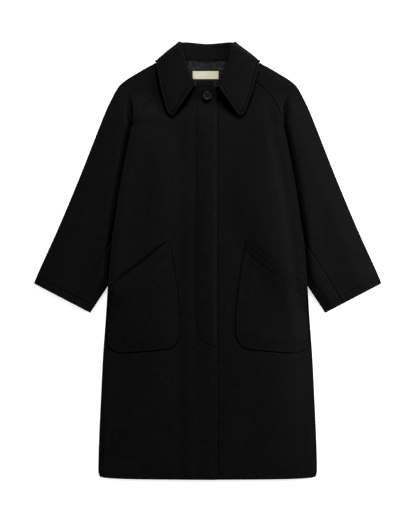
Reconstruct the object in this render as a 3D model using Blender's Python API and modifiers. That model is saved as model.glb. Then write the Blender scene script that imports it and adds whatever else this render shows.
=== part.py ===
"""A long raglan coat in heavy wool cloth, laid out flat on its back.

Metres, +Z up.  The coat's collar points to +Y and the wearer's left side lies at +X.
Heights in the tables are measured up the coat from the lowest point of its hem.
"""

import math
from collections import namedtuple

import bmesh
import bpy

# Overall sizes
LENGTH = 1.138            # lowest point of the hem to the top of the collar
CLOTH = 0.0025            # wool wall
COLLAR_CLOTH = 0.0032     # two layers of the wool, sewn and turned
LINING_CLOTH = 0.001
LABEL_CLOTH = 0.0008
SEAM = 0.0004             # clearance between two pieces that are sewn edge to edge
LAYER = 0.0004            # clearance between two pieces that lie on each other
LOFT = 0.0017             # how far a layer stands off the one below it, away from the edges
EDGE_ROLL = 0.020         # width over which a layer comes down to its edge
FRONT_OVERLAP = {+1: 0.0280, -1: 0.0245}     # how far each front runs past the middle of the coat

# How wide the slopes are where a layer climbs on to another one
MARGIN = 0.012            # the slope ends this far before the layer below begins
TUCK_SLOPE = 0.110
SLEEVE_SLOPE = 0.060
FALL_SLOPE = 0.080
OVERLAP_SLOPE = 0.040

Edge = namedtuple("Edge", "height half_width")
Fold = namedtuple("Fold", "side across height lean length inner outer depth")

# Side of the body: from the hem corner up the side to the end of the raglan seam
BODY_SIDE = (
    Edge(0.0083, 0.2805),
    Edge(0.0200, 0.2840),
    Edge(0.0400, 0.2842),
    Edge(0.1070, 0.2823),
    Edge(0.2160, 0.2773),
    Edge(0.3250, 0.2718),
    Edge(0.4150, 0.2652),
    Edge(0.5060, 0.2590),
    Edge(0.6100, 0.2510),
    Edge(0.6750, 0.2415),
    Edge(0.7530, 0.2300),
    Edge(0.8180, 0.2180),
    Edge(0.8570, 0.2102),
    Edge(0.8830, 0.2050),
    Edge(0.9200, 0.1975),
)
# Hem, from the centre line out to the corner
HEM = (
    Edge(0.0000, 0.0000),
    Edge(0.0006, 0.1200),
    Edge(0.0016, 0.2000),
    Edge(0.0031, 0.2400),
    Edge(0.0054, 0.2690),
    Edge(0.0083, 0.2805),
)
# Raglan seams, from the body's side to the neckline.  The two front ones don't lie quite alike.
FRONT_RAGLAN = {
    +1: (
        Edge(0.9200, 0.1975),
        Edge(0.9350, 0.1938),
        Edge(0.9505, 0.1880),
        Edge(0.9690, 0.1800),
        Edge(0.9890, 0.1690),
        Edge(1.0080, 0.1540),
        Edge(1.0210, 0.1390),
        Edge(1.0340, 0.1220),
        Edge(1.0550, 0.0880),
    ),
    -1: (
        Edge(0.9200, 0.1975),
        Edge(0.9400, 0.1858),
        Edge(0.9535, 0.1772),
        Edge(0.9740, 0.1612),
        Edge(0.9870, 0.1485),
        Edge(1.0080, 0.1320),
        Edge(1.0270, 0.1150),
        Edge(1.0550, 0.0880),
    ),
}
RAGLAN_END = 0.9200       # height where the seam meets the body's side
ROW_DIP = 0.060           # the panels' rows run this much lower at the centre line than at that height
BACK_RAGLAN = (
    Edge(0.9200, 0.1975),
    Edge(0.9800, 0.1720),
    Edge(1.0250, 0.1340),
    Edge(1.0650, 0.0980),
    Edge(1.0970, 0.0700),
)
# Necklines, from the centre line out to the raglan seam
FRONT_NECK = (
    Edge(1.0195, 0.0000),
    Edge(1.0205, 0.0260),
    Edge(1.0250, 0.0500),
    Edge(1.0360, 0.0700),
    Edge(1.0550, 0.0880),
)
BACK_NECK = (
    Edge(1.0940, 0.0000),
    Edge(1.0950, 0.0350),
    Edge(1.0970, 0.0700),
)
FRONT_CORNER = 0.008      # radius of the front's free top corner
# Patch pocket: mouth from its inner to its outer end, then the other three edges
POCKET_MOUTH = (
    Edge(0.6200, 0.1030),
    Edge(0.5640, 0.1740),
    Edge(0.5040, 0.2530),
)
POCKET_INNER = (
    Edge(0.3525, 0.0840),
    Edge(0.3640, 0.0775),
    Edge(0.3800, 0.0738),
    Edge(0.4000, 0.0730),
    Edge(0.4400, 0.0745),
    Edge(0.5060, 0.0815),
    Edge(0.5850, 0.0940),
    Edge(0.6200, 0.1030),
)
POCKET_OUTER = (
    Edge(0.3420, 0.2550),
    Edge(0.3520, 0.2595),
    Edge(0.3650, 0.2613),
    Edge(0.3900, 0.2612),
    Edge(0.4670, 0.2565),
    Edge(0.5040, 0.2530),
)
POCKET_BOTTOM = (
    Edge(0.3525, 0.0840),
    Edge(0.3450, 0.0930),
    Edge(0.3400, 0.1060),
    Edge(0.3360, 0.1400),
    Edge(0.3320, 0.1900),
    Edge(0.3300, 0.2220),
    Edge(0.3325, 0.2390),
    Edge(0.3420, 0.2550),
)
POCKET_LAYER = 0.0011     # clearance under a pocket
# Inside of the neck
LINING_HALF = 0.078
LINING_LOW = 0.985
LINING_HIGH = 1.0925
NECK_LABEL = (-0.0055, 1.0514, 0.067, 0.0205)      # across, height, width, depth
SIZE_LABEL = (-0.0060, 1.0298, 0.044, 0.016)
# Top button
BUTTON_ACROSS = -0.0018
BUTTON_HEIGHT = 0.9976
BUTTON_RADIUS = 0.0112
BUTTON_THICK = 0.0042
BUTTON_RIM = 0.0030
BUTTON_DISH = 0.0014
BUTTON_ROUND = 0.0012
# Outer edge of a sleeve and shoulder, from the cuff up to the neck
SLEEVE_OUTER = (
    Edge(0.5104, 0.4518),
    Edge(0.5440, 0.4378),
    Edge(0.6530, 0.3885),
    Edge(0.7800, 0.3352),
    Edge(0.9080, 0.2848),
    Edge(0.9600, 0.2638),
    Edge(0.9910, 0.2490),
    Edge(1.0120, 0.2378),
    Edge(1.0270, 0.2270),
    Edge(1.0420, 0.2075),
    Edge(1.0570, 0.1826),
    Edge(1.0722, 0.1567),
    Edge(1.0785, 0.1440),
    Edge(1.0815, 0.1398),
    Edge(1.0842, 0.1357),
    Edge(1.0812, 0.1329),
    Edge(1.0755, 0.1200),
    Edge(1.0790, 0.1060),
    Edge(1.0870, 0.0900),
)
# Inner fold of a sleeve, from the cuff to the armpit, mostly tucked under the body
SLEEVE_INNER = (
    Edge(0.4345, 0.3065),
    Edge(0.5065, 0.2590),
    Edge(0.5920, 0.2050),
    Edge(0.6650, 0.1650),
    Edge(0.7350, 0.1500),
)
# Underarm seam, which lies on the front of the sleeve
UNDERARM_SEAM = (
    Edge(0.4578, 0.3510),
    Edge(0.4867, 0.3349),
    Edge(0.5180, 0.3164),
    Edge(0.5580, 0.2904),
    Edge(0.5985, 0.2644),
    Edge(0.6450, 0.2350),
    Edge(0.6920, 0.2000),
    Edge(0.7350, 0.1640),
)
# Sleeve seam inside the tuck, from the armpit to the end of the raglan seam
ARMPIT = (
    Edge(0.7350, 0.1500),
    Edge(0.8000, 0.1590),
    Edge(0.8600, 0.1750),
    Edge(0.9200, 0.1979),
)
# Lower edge of the collar behind the neck, under the coat
COLLAR_BACK_EDGE = (
    Edge(1.0480, 0.0000),
    Edge(1.0560, 0.0700),
    Edge(1.0780, 0.1300),
)
# Groove in the sleeve's front, from the top of the tuck up towards the shoulder
GROOVE = (
    Edge(0.9200, 0.2035),
    Edge(0.9350, 0.2050),
    Edge(0.9610, 0.2055),
    Edge(0.9870, 0.2065),
    Edge(1.0210, 0.2115),
)
GROOVE_WIDTH = 0.009      # inside the groove the sleeve climbs to the front's level over this width
GROOVE_LENGTH = 0.075     # length over which the groove dies out below the shoulder
RIDGE_START = 0.016       # lengths over which that climb begins above the tuck and ends below the shoulder
RIDGE_FADE = 0.040
TUCK_DIP = 0.0015         # the sleeve sinks this much just before it runs under the body
TUCK_DIP_WIDTH = 0.010
SLEEVE_CROWN = 0.0060     # how far the sleeve's upper wall rises between its edges
CROWN_RISE = 0.018        # width of that rise
SIDE_LIP = {+1: 0.0050, -1: 0.0055}      # the body's edge stands this far off the sleeve that runs under it
LIP_WIDTH = {+1: 0.040, -1: 0.085}
LIP_FADE = 0.070
LIP_TOP = 0.985           # the lip runs on across the raglan seam and dies out here
COLLAR_REACH = 0.138      # half width of the collar where it folds round the neck

Station = namedtuple(
    "Station", "neck_x neck_h neck_z roll_x roll_h roll_z turn spread edge_x edge_h edge_z"
)
# Collar sections: neck edge, roll line and outer edge.  The roll is half an ellipse: turn is its depth and
# spread is half its width, positive where the leaf lies above the stand.
# In front, from the collar's end up to the side fold
COLLAR_FRONT = (
    Station(0.0360, 1.0175, 0.0152, 0.0266, 1.0290, 0.0186, 0.0030, +0.0026, 0.0845, 0.9440, 0.0148),
    Station(0.0550, 1.0240, 0.0144, 0.0328, 1.0380, 0.0184, 0.0030, +0.0026, 0.1000, 0.9524, 0.0146),
    Station(0.0720, 1.0360, 0.0138, 0.0408, 1.0520, 0.0184, 0.0030, +0.0026, 0.1105, 0.9840, 0.0144),
    Station(0.0860, 1.0520, 0.0140, 0.0495, 1.0700, 0.0186, 0.0030, +0.0026, 0.1212, 1.0180, 0.0142),
    Station(0.0885, 1.0680, 0.0144, 0.0585, 1.0920, 0.0190, 0.0030, +0.0026, 0.1285, 1.0500, 0.0144),
    Station(0.0845, 1.0810, 0.0148, 0.0652, 1.1120, 0.0190, 0.0030, +0.0026, 0.1325, 1.0680, 0.0138),
    Station(0.0825, 1.0920, 0.0152, 0.0705, 1.1280, 0.0188, 0.0030, +0.0026, 0.1330, 1.0830, 0.0128),
)
# Behind, from the side fold to the middle of the back
COLLAR_BACK = (
    Station(0.0825, 1.0925, 0.0097, 0.0674, 1.1328, 0.0058, 0.0042, -0.0041, 0.1305, 1.0815, 0.0016),
    Station(0.0580, 1.0930, 0.0099, 0.0530, 1.1356, 0.0057, 0.0042, -0.0041, 0.1100, 1.0692, 0.0016),
    Station(0.0340, 1.0902, 0.0098, 0.0330, 1.1336, 0.0057, 0.0042, -0.0041, 0.0740, 1.0570, 0.0016),
    Station(0.0000, 1.0885, 0.0098, 0.0000, 1.1312, 0.0057, 0.0042, -0.0041, 0.0000, 1.0480, 0.0016),
)
SIDE_FOLD = (0.78, 0.62)  # direction in which the collar's side fold bulges
FOLD_REACH = 0.0088       # how far it bulges at most
COLLAR_LEAN = -0.0050     # the collar's front ends lie a little to one side
ROLL_SHIFT = {+1: -0.0045, -1: 0.0}       # near the shoulder the left leaf rolls further in
ROLL_SHIFT_FROM = 2.5     # station where that begins
ROLL_LIFT = {+1: 0.0, -1: -0.0018}        # the right leaf's roll lies lower, so that leaf is flatter
COLLAR_CROWN = {+1: 0.0030, -1: 0.0014}   # how far a leaf bulges between the roll and its outer edge

# Soft folds in the fronts: side is +1 on the wearer's left, lean is the turn of the fold from upright, and
# inner and outer are its widths towards the centre line and towards the side
FRONT_FOLDS = (
    Fold(+1, 0.1500, 0.780, math.radians(-4), 0.44, 0.170, 0.055, +0.0080),
    Fold(+1, 0.1500, 0.420, math.radians(0), 0.66, 0.200, 0.105, +0.0125),
    Fold(+1, 0.0150, 0.660, math.radians(0), 0.52, 0.050, 0.075, +0.0035),
    Fold(+1, 0.1900, 0.215, math.radians(6), 0.30, 0.060, 0.045, +0.0020),
    Fold(+1, 0.2120, 0.465, math.radians(-25), 0.24, 0.036, 0.036, +0.0030),
    Fold(+1, 0.0550, 0.090, math.radians(20), 0.14, 0.035, 0.035, +0.0020),
    Fold(-1, 0.1300, 0.420, math.radians(0), 0.66, 0.200, 0.095, +0.0075),
    Fold(-1, 0.1020, 0.790, math.radians(2), 0.38, 0.120, 0.060, +0.0050),
    Fold(-1, 0.2050, 0.130, math.radians(-38), 0.20, 0.035, 0.035, +0.0022),
    Fold(-1, 0.1150, 0.280, math.radians(4), 0.34, 0.045, 0.045, +0.0015),
)
FOLD_TOP = 1.000          # the folds die out below the collar
FOLD_FADE = 0.080
FOLD_EDGE = {+1: 0.055, -1: 0.080}       # and over this width at the side
# The right front is rounded into a ridge about the centre line, where the layers of its fly lie
FLY_RIDGE = 0.0042
FLY_RIDGE_LOW = 0.0018    # the ridge's height below the fly
FLY_RIDGE_SHIFT = 0.020   # its crest lies this far on the right front's side
FLY_RIDGE_WIDTH = 0.048   # its width towards the free edge
FLY_RIDGE_REACH = 0.120   # and away from it
FLY_LOW = 0.3465          # lower end of the fly
FLY_STEP = 0.120          # length over which the ridge changes there
FLY_TOP = 0.985           # the ridge dies out below the collar
FLY_FADE = 0.050

WOOL = ("black_wool", (0.0110, 0.0112, 0.0120), 0.95)
LINING = ("black_satin", (0.0300, 0.0300, 0.0310), 0.35)
CREAM = ("cream_label", (0.7400, 0.6900, 0.5400), 0.80)
BLACK_TAPE = ("black_tape", (0.0120, 0.0120, 0.0130), 0.55)
HORN = ("dark_horn", (0.0450, 0.0450, 0.0430), 0.30)


# Small tools


def smooth(share):
    """0 below 0, 1 above 1, and a soft S between."""
    share = min(max(share, 0.0), 1.0)
    return share * share * (3.0 - 2.0 * share)


def width_at(edges, height):
    """Half width of an edge at a height, straight between its rows."""
    for low, high in zip(edges, edges[1:]):
        if height <= high.height:
            break
    share = (height - low.height) / (high.height - low.height)
    share = min(max(share, 0.0), 1.0)
    return low.half_width + share * (high.half_width - low.half_width)


def height_at(edges, half_width):
    """Height of an edge at a half width, straight between its rows."""
    swapped = [Edge(edge.half_width, edge.height) for edge in edges]
    return width_at(swapped, half_width)


def between(a, b, c, d, t):
    """A value on a soft curve through four values, from b at t = 0 to c at t = 1."""
    return b + 0.5 * t * (c - a + t * (2 * a - 5 * b + 4 * c - d + t * (3 * (b - c) + d - a)))


def spline(points, count):
    """count + 1 points, evenly spaced along a soft curve through the given points."""
    ends = [tuple(2 * a - b for a, b in zip(points[0], points[1]))]
    ends += [tuple(p) for p in points]
    ends += [tuple(2 * a - b for a, b in zip(points[-1], points[-2]))]
    fine = []
    steps = 16
    for p0, p1, p2, p3 in zip(ends, ends[1:], ends[2:], ends[3:]):
        for step in range(steps):
            t = step / steps
            fine.append(tuple(between(*four, t) for four in zip(p0, p1, p2, p3)))
    fine.append(tuple(points[-1]))
    return even(fine, count)


def even(points, count):
    """count + 1 points, evenly spaced along a chain of straight lines."""
    lengths = [0.0]
    for a, b in zip(points, points[1:]):
        lengths.append(lengths[-1] + math.dist(a, b))
    found = []
    at = 0
    for index in range(count + 1):
        target = lengths[-1] * index / count
        while at < len(points) - 2 and lengths[at + 1] < target:
            at += 1
        share = (target - lengths[at]) / max(lengths[at + 1] - lengths[at], 1e-9)
        found.append(tuple(a + share * (b - a) for a, b in zip(points[at], points[at + 1])))
    return found


def plan(edges):
    """Plan points (across, height) of an edge's rows."""
    return [(edge.half_width, edge.height) for edge in edges]


def patch(bottom, top, inner, outer):
    """Rows of plan points that fill four edges.  bottom and top run from inner to outer."""
    last_row = len(inner) - 1
    last_column = len(bottom) - 1
    rows = []
    for i in range(last_row + 1):
        v = i / last_row
        row = []
        for j in range(last_column + 1):
            u = j / last_column
            row.append(tuple(
                (1 - v) * bottom[j][k] + v * top[j][k]
                + (1 - u) * inner[i][k] + u * outer[i][k]
                - (1 - u) * ((1 - v) * bottom[0][k] + v * top[0][k])
                - u * ((1 - v) * bottom[-1][k] + v * top[-1][k])
                for k in (0, 1)
            ))
        rows.append(row)
    return rows


# Heights of the layers above the floor


def fall_lift(x, height):
    """How far the back of the collar, folded under the neck, lifts what lies on it."""
    x = abs(x)
    lower = height_at(COLLAR_BACK_EDGE, x)
    up = smooth((height - lower + MARGIN + FALL_SLOPE) / FALL_SLOPE)
    out = smooth((COLLAR_REACH + MARGIN + FALL_SLOPE - x) / FALL_SLOPE)
    return (COLLAR_CLOTH + 2 * LAYER) * up * out


def back_middle(x, height):
    """Middle of the back panel's wall."""
    return fall_lift(x, height) + CLOTH / 2


def tuck_end(height):
    """1 along the tuck, fading past its lower and upper ends."""
    low = SLEEVE_INNER[1].height
    high = RAGLAN_END
    rise = smooth((height - low + MARGIN + TUCK_SLOPE) / TUCK_SLOPE)
    fade = smooth((high + MARGIN + TUCK_SLOPE - height) / TUCK_SLOPE)
    return rise * fade


def tuck_depth(height):
    """Half width of the innermost edge of the tucked sleeve at a height."""
    if height <= ARMPIT[0].height:
        return width_at(SLEEVE_INNER, height)
    return width_at(ARMPIT, height)


def sleeve_lift(x, height):
    """How far the back panel lifts the part of a sleeve that lies on it."""
    beyond = abs(x) - width_at(BODY_SIDE, height)
    climb = smooth((SLEEVE_SLOPE + MARGIN - beyond) / SLEEVE_SLOPE)
    fade = smooth((RAGLAN_END + MARGIN + TUCK_SLOPE - height) / TUCK_SLOPE)
    return (CLOTH + LAYER) * climb * fade


def sleeve_low(x, height):
    """Middle of the sleeve's lower wall."""
    return fall_lift(x, height) + sleeve_lift(x, height) + CLOTH / 2


def from_tuck(x, height):
    """How far out a point lies from the line where the sleeve sinks in beside the body and the groove."""
    return abs(x) - max(width_at(BODY_SIDE, height), width_at(GROOVE, height))


def tuck_fade(height):
    """1 beside the body, fading out up the shoulder."""
    return smooth((GROOVE[-1].height - height) / GROOVE_LENGTH)


def sleeve_crown(x, height):
    """How far the sleeve's upper wall rises away from the body and from its own inner fold."""
    from_fold = abs(x) - width_at(SLEEVE_INNER, height)
    rise = smooth(from_tuck(x, height) / CROWN_RISE) * smooth(from_fold / (2 * CROWN_RISE))
    return SLEEVE_CROWN * rise * tuck_fade(height)


def sleeve_high(side, x, height, from_edge):
    """Middle of the sleeve's upper wall, from_edge away from its outer edge.

    Between the raglan seam and the groove it runs on at the front's own level.
    """
    beyond = from_tuck(x, height)
    edge = smooth(from_edge / EDGE_ROLL)
    dip = TUCK_DIP * tuck_fade(height) * math.exp(-(max(beyond, 0.0) / TUCK_DIP_WIDTH) ** 2)
    crown = sleeve_crown(x, height) * smooth(from_edge / (3 * CROWN_RISE))
    level = sleeve_low(x, height) + CLOTH + LAYER + (LOFT - dip) * edge + crown
    ridge = smooth(-beyond / GROOVE_WIDTH) * smooth((height - RAGLAN_END) / RIDGE_START)
    ridge *= smooth((GROOVE[-1].height - height) / RIDGE_FADE)
    return level + ridge * (front_middle(side, x, height) - level)


def front_fold(side, x, height):
    """Height of the soft folds in a front."""
    total = 0.0
    for fold in FRONT_FOLDS:
        if fold.side != side:
            continue
        dx = x - fold.across
        dh = height - fold.height
        along = dh * math.cos(fold.lean) + dx * math.sin(fold.lean)
        across = dx * math.cos(fold.lean) - dh * math.sin(fold.lean)
        width = fold.inner if across < 0.0 else fold.outer
        total += fold.depth * math.exp(-(across / width) ** 2 - (2 * along / fold.length) ** 2)
    return total * smooth((FOLD_TOP - height) / FOLD_FADE)


def fly_ridge(x, height):
    """How far the fly's layers round up the right front about the centre line."""
    share = smooth((height - FLY_LOW) / FLY_STEP + 0.5)
    ridge = FLY_RIDGE_LOW + (FLY_RIDGE - FLY_RIDGE_LOW) * share
    from_crest = x - FLY_RIDGE_SHIFT
    width = FLY_RIDGE_REACH if from_crest > 0 else FLY_RIDGE_WIDTH
    return ridge * math.exp(-(from_crest / width) ** 2) * smooth((FLY_TOP - height) / FLY_FADE)


def side_lip(side, from_side, height):
    """How far a front's side edge stands off the sleeve that runs under it."""
    along_sleeve = smooth((height - SLEEVE_INNER[1].height + LIP_FADE) / LIP_FADE)
    along_sleeve *= smooth((LIP_TOP - height) / LIP_FADE)
    return SIDE_LIP[side] * along_sleeve * (1.0 - smooth(from_side / LIP_WIDTH[side]))


def front_middle(side, x, height):
    """Middle of a front's wall.  x is measured outwards from the centre line."""
    from_side = width_at(BODY_SIDE, height) - x
    on_body = smooth((RAGLAN_END + TUCK_SLOPE - height) / TUCK_SLOPE)
    loft = LOFT * (1.0 - on_body * (1.0 - smooth(from_side / EDGE_ROLL)))
    climb = smooth((x - tuck_depth(height) + MARGIN + TUCK_SLOPE) / TUCK_SLOPE)
    tuck = (2 * (CLOTH + LAYER) + LOFT) * climb * tuck_end(height)
    rise = back_middle(x, height) + CLOTH + LAYER + loft + tuck
    rise += front_fold(side, x, height) * smooth(from_side / FOLD_EDGE[side])
    rise += side_lip(side, from_side, height)
    if side < 0:
        step = smooth((FRONT_OVERLAP[+1] + MARGIN + OVERLAP_SLOPE - x) / OVERLAP_SLOPE)
        rise += (CLOTH + LAYER) * step
        other = front_fold(+1, -x, height) - front_fold(-1, x, height)
        rise += max(other, 0.0) * step + fly_ridge(x, height)
    return rise


def front_top(side, x, height):
    """Top of a front's wall."""
    return front_middle(side, x, height) + CLOTH / 2


# Making solids


def material(look):
    name, colour, roughness = look
    found = bpy.data.materials.get(name)
    if found:
        return found
    made = bpy.data.materials.new(name)
    made.use_nodes = True
    shader = made.node_tree.nodes["Principled BSDF"]
    shader.inputs["Base Color"].default_value = (*colour, 1.0)
    shader.inputs["Roughness"].default_value = roughness
    made.diffuse_color = (*colour, 1.0)
    return made


def add_object(name, mesh, look, parts):
    made = bpy.data.objects.new(name, mesh)
    parts.objects.link(made)
    mesh.materials.append(material(look))
    return made


def cloth(name, rows, thickness, look, parts, left_out=()):
    """A wall of cloth: a grid moved to rows of (x, height, z) points, thickened about them."""
    columns = len(rows[0])
    bm = bmesh.new()
    bmesh.ops.create_grid(bm, x_segments=columns - 1, y_segments=len(rows) - 1, size=1.0)
    bm.verts.ensure_lookup_table()
    for index, vert in enumerate(bm.verts):
        x, height, z = rows[index // columns][index % columns]
        vert.co = (x, height - LENGTH / 2, z)
    if left_out:
        bm.faces.ensure_lookup_table()
        gone = [bm.faces[i * (columns - 1) + j] for i, j in left_out]
        bmesh.ops.delete(bm, geom=gone, context="FACES")
    mesh = bpy.data.meshes.new(name)
    bm.to_mesh(mesh)
    bm.free()
    mesh.shade_smooth()
    made = add_object(name, mesh, look, parts)
    wall = made.modifiers.new("wall", "SOLIDIFY")
    wall.thickness = thickness
    wall.offset = 0.0
    return made


# Pieces of the coat


def make_back(parts):
    """The back panel: flat on the floor, raised a little where the collar is folded under it."""
    side_rows, raglan_rows, half_columns = 16, 14, 9
    outer = spline(plan(BODY_SIDE), side_rows)[:-1] + spline(plan(BACK_RAGLAN), raglan_rows)
    low = RAGLAN_END - ROW_DIP
    centre = even([(0.0, 0.0), (0.0, low)], side_rows)[:-1]
    centre += even([(0.0, low), (0.0, BACK_NECK[0].height)], raglan_rows)
    half = patch(spline(plan(HEM), half_columns), spline(plan(BACK_NECK), half_columns), centre, outer)
    rows = []
    for half_row in half:
        row = [(-x, height) for x, height in reversed(half_row[1:])] + half_row
        rows.append([(x, height, back_middle(x, height)) for x, height in row])
    cloth("back", rows, CLOTH, WOOL, parts)


def front_plan(side):
    """Plan rows of a front, from its free edge out to the side and the raglan seam."""
    side_rows, raglan_rows, columns = 40, 14, 14
    free = -FRONT_OVERLAP[side]
    outer = spline(plan(BODY_SIDE), side_rows)[:-1] + spline(plan(FRONT_RAGLAN[side]), raglan_rows)
    corner = FRONT_NECK[0].height - FRONT_CORNER
    low = RAGLAN_END - ROW_DIP
    inner = even([(free, 0.0), (free, low)], side_rows)[:-1]
    inner += even([(free, low), (free, corner)], raglan_rows)
    hem = spline([(free, 0.0)] + plan(HEM), columns)
    turn = [(free + FRONT_CORNER * 0.3, corner + FRONT_CORNER * 0.7)]
    turn += [(free + FRONT_CORNER, FRONT_NECK[0].height)]
    neck = spline([(free, corner)] + turn + plan(FRONT_NECK), columns)
    return patch(hem, neck, inner, outer)


def make_front(side, name, parts):
    rows = []
    for plan_row in front_plan(side):
        rows.append([(side * x, h, front_middle(side, x, h)) for x, h in plan_row])
    cloth(name, rows, CLOTH, WOOL, parts)


def sleeve_outer(arm_rows, raglan_rows):
    """Outer edge of a sleeve as plan points, one for each row."""
    points = spline(plan(SLEEVE_OUTER), 4 * (arm_rows + raglan_rows))
    split = 3 * (arm_rows + raglan_rows)
    return even(points[: split + 1], arm_rows)[:-1] + even(points[split:], raglan_rows)


def make_sleeve_front(side, name, parts):
    """The upper half of a raglan sleeve, from its outer edge to the underarm and raglan seams."""
    seam_rows, hidden_rows, raglan_rows, columns = 10, 8, 14, 10
    apart = SEAM
    raglan = [(x + apart, h) for x, h in spline(plan(FRONT_RAGLAN[side]), raglan_rows)]
    hidden = spline(plan(ARMPIT[:-1]) + raglan[:1], hidden_rows)
    seam = spline([(x + apart / 2, h) for x, h in plan(UNDERARM_SEAM)], seam_rows)
    inner = seam + hidden[1:-1] + raglan
    hidden_start = UNDERARM_SEAM[-1]
    inner[seam_rows] = (hidden_start.half_width, hidden_start.height)
    outer = sleeve_outer(seam_rows + hidden_rows, raglan_rows)
    cuff = even([outer[0], inner[0]], columns)
    neck = even([outer[-1], inner[-1]], columns)
    rows = []
    for plan_row in patch(cuff, neck, outer, inner):
        row = []
        for x, h in plan_row:
            z = sleeve_high(side, x, h, math.dist((x, h), plan_row[0]))
            row.append((side * x, h, z))
        rows.append(row)
    cloth(name, rows, CLOTH, WOOL, parts)


def make_sleeve_back(side, name, parts):
    """The lower half of a raglan sleeve.  Its inner side folds up and over to the underarm seam."""
    fold_rows, hidden_rows, raglan_rows, columns = 10, 8, 14, 7
    turn_columns, return_columns = 4, 2
    raglan = [(x + SEAM, h) for x, h in spline(plan(BACK_RAGLAN), raglan_rows)]
    hidden = spline(plan(ARMPIT[:-1]) + raglan[:1], hidden_rows)
    fold = spline(plan(SLEEVE_INNER), fold_rows)
    inner = fold + hidden[1:-1] + raglan
    outer = sleeve_outer(fold_rows + hidden_rows, raglan_rows)
    cuff = even([outer[0], inner[0]], columns)
    neck = even([outer[-1], inner[-1]], columns)
    seam = spline([(x - SEAM / 2, h) for x, h in plan(UNDERARM_SEAM)], fold_rows)
    radius = (CLOTH + LAYER + LOFT) / 2
    rows = []
    left_out = []
    for i, plan_row in enumerate(patch(cuff, neck, outer, inner)):
        row = [(side * x, h, sleeve_low(x, h)) for x, h in plan_row]
        x, h = plan_row[-1]
        end = seam[i] if i <= fold_rows else plan_row[-2]
        reach = max(math.dist((x, h), end), 1e-6)
        out = ((end[0] - x) / reach, (end[1] - h) / reach)
        if i <= fold_rows:
            row[-1] = (side * (x + radius * out[0]), h + radius * out[1], sleeve_low(x, h))
        for step in range(1, turn_columns + 1):
            angle = math.pi * step / turn_columns
            back = radius * (1.0 - math.sin(angle))
            z = sleeve_low(x, h) + radius * (1.0 - math.cos(angle))
            row.append((side * (x + back * out[0]), h + back * out[1], z))
        for step in range(1, return_columns + 1):
            share = radius + (reach - radius) * step / return_columns
            px, ph = x + share * out[0], h + share * out[1]
            row.append((side * px, ph, sleeve_low(px, ph) + 2 * radius + sleeve_crown(px, ph)))
        rows.append(row)
        if i >= fold_rows:
            left_out += [(i, columns + j) for j in range(turn_columns + return_columns)]
    left_out = [(i, j) for i, j in left_out if i < len(rows) - 1]
    cloth(name, rows, CLOTH, WOOL, parts, left_out)


def make_pocket(side, name, parts):
    """A patch pocket, made from the front's own surface and moved out."""
    rows_up, columns = 12, 10
    plan_rows = patch(
        spline(plan(POCKET_BOTTOM), columns),
        spline(plan(POCKET_MOUTH), columns),
        spline(plan(POCKET_INNER), rows_up),
        spline(plan(POCKET_OUTER), rows_up),
    )
    rows = []
    for plan_row in plan_rows:
        rows.append([(side * x, h, front_top(side, x, h) + POCKET_LAYER + CLOTH / 2) for x, h in plan_row])
    cloth(name, rows, CLOTH, WOOL, parts)


def lining_middle(x, height):
    return back_middle(x, height) + CLOTH / 2 + LAYER + LINING_CLOTH / 2


def flat_rows(across, height, width, depth, columns, rows_up, level):
    """Rows of a rectangle of cloth that follows a level."""
    rows = []
    for i in range(rows_up + 1):
        h = height + depth * (i / rows_up - 0.5)
        row = []
        for j in range(columns + 1):
            x = across + width * (j / columns - 0.5)
            row.append((x, h, level(x, h)))
        rows.append(row)
    return rows


def make_inside(parts):
    """What shows inside the neck: the lining and two blank labels."""
    depth = LINING_HIGH - LINING_LOW
    middle = (LINING_HIGH + LINING_LOW) / 2
    rows = flat_rows(0.0, middle, 2 * LINING_HALF, depth, 10, 8, lining_middle)
    cloth("neck_lining", rows, LINING_CLOTH, LINING, parts)

    def label_middle(x, height):
        return lining_middle(x, height) + (LINING_CLOTH + LABEL_CLOTH) / 2 + LAYER

    cloth("neck_label", flat_rows(*NECK_LABEL, 5, 2, label_middle), LABEL_CLOTH, CREAM, parts)
    cloth("size_label", flat_rows(*SIZE_LABEL, 3, 2, label_middle), LABEL_CLOTH, BLACK_TAPE, parts)


def collar_station(stations, t, at_middle):
    """A collar section between two stations, on a soft curve.  at_middle: the last one is the mirror line."""
    last = len(stations) - 1
    index = min(int(t), last - 1)
    share = t - index
    values = []
    for k, name in enumerate(Station._fields):
        b, c = stations[index][k], stations[index + 1][k]
        a = stations[index - 1][k] if index > 0 else 2 * b - c
        d = 2 * c - b
        if index + 2 <= last:
            d = stations[index + 2][k]
        elif at_middle:
            d = -b if name.endswith("_x") else b
        values.append(between(a, b, c, d, share))
    return Station(*values)


def unit(x, y):
    length = math.hypot(x, y)
    return x / length, y / length


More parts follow.
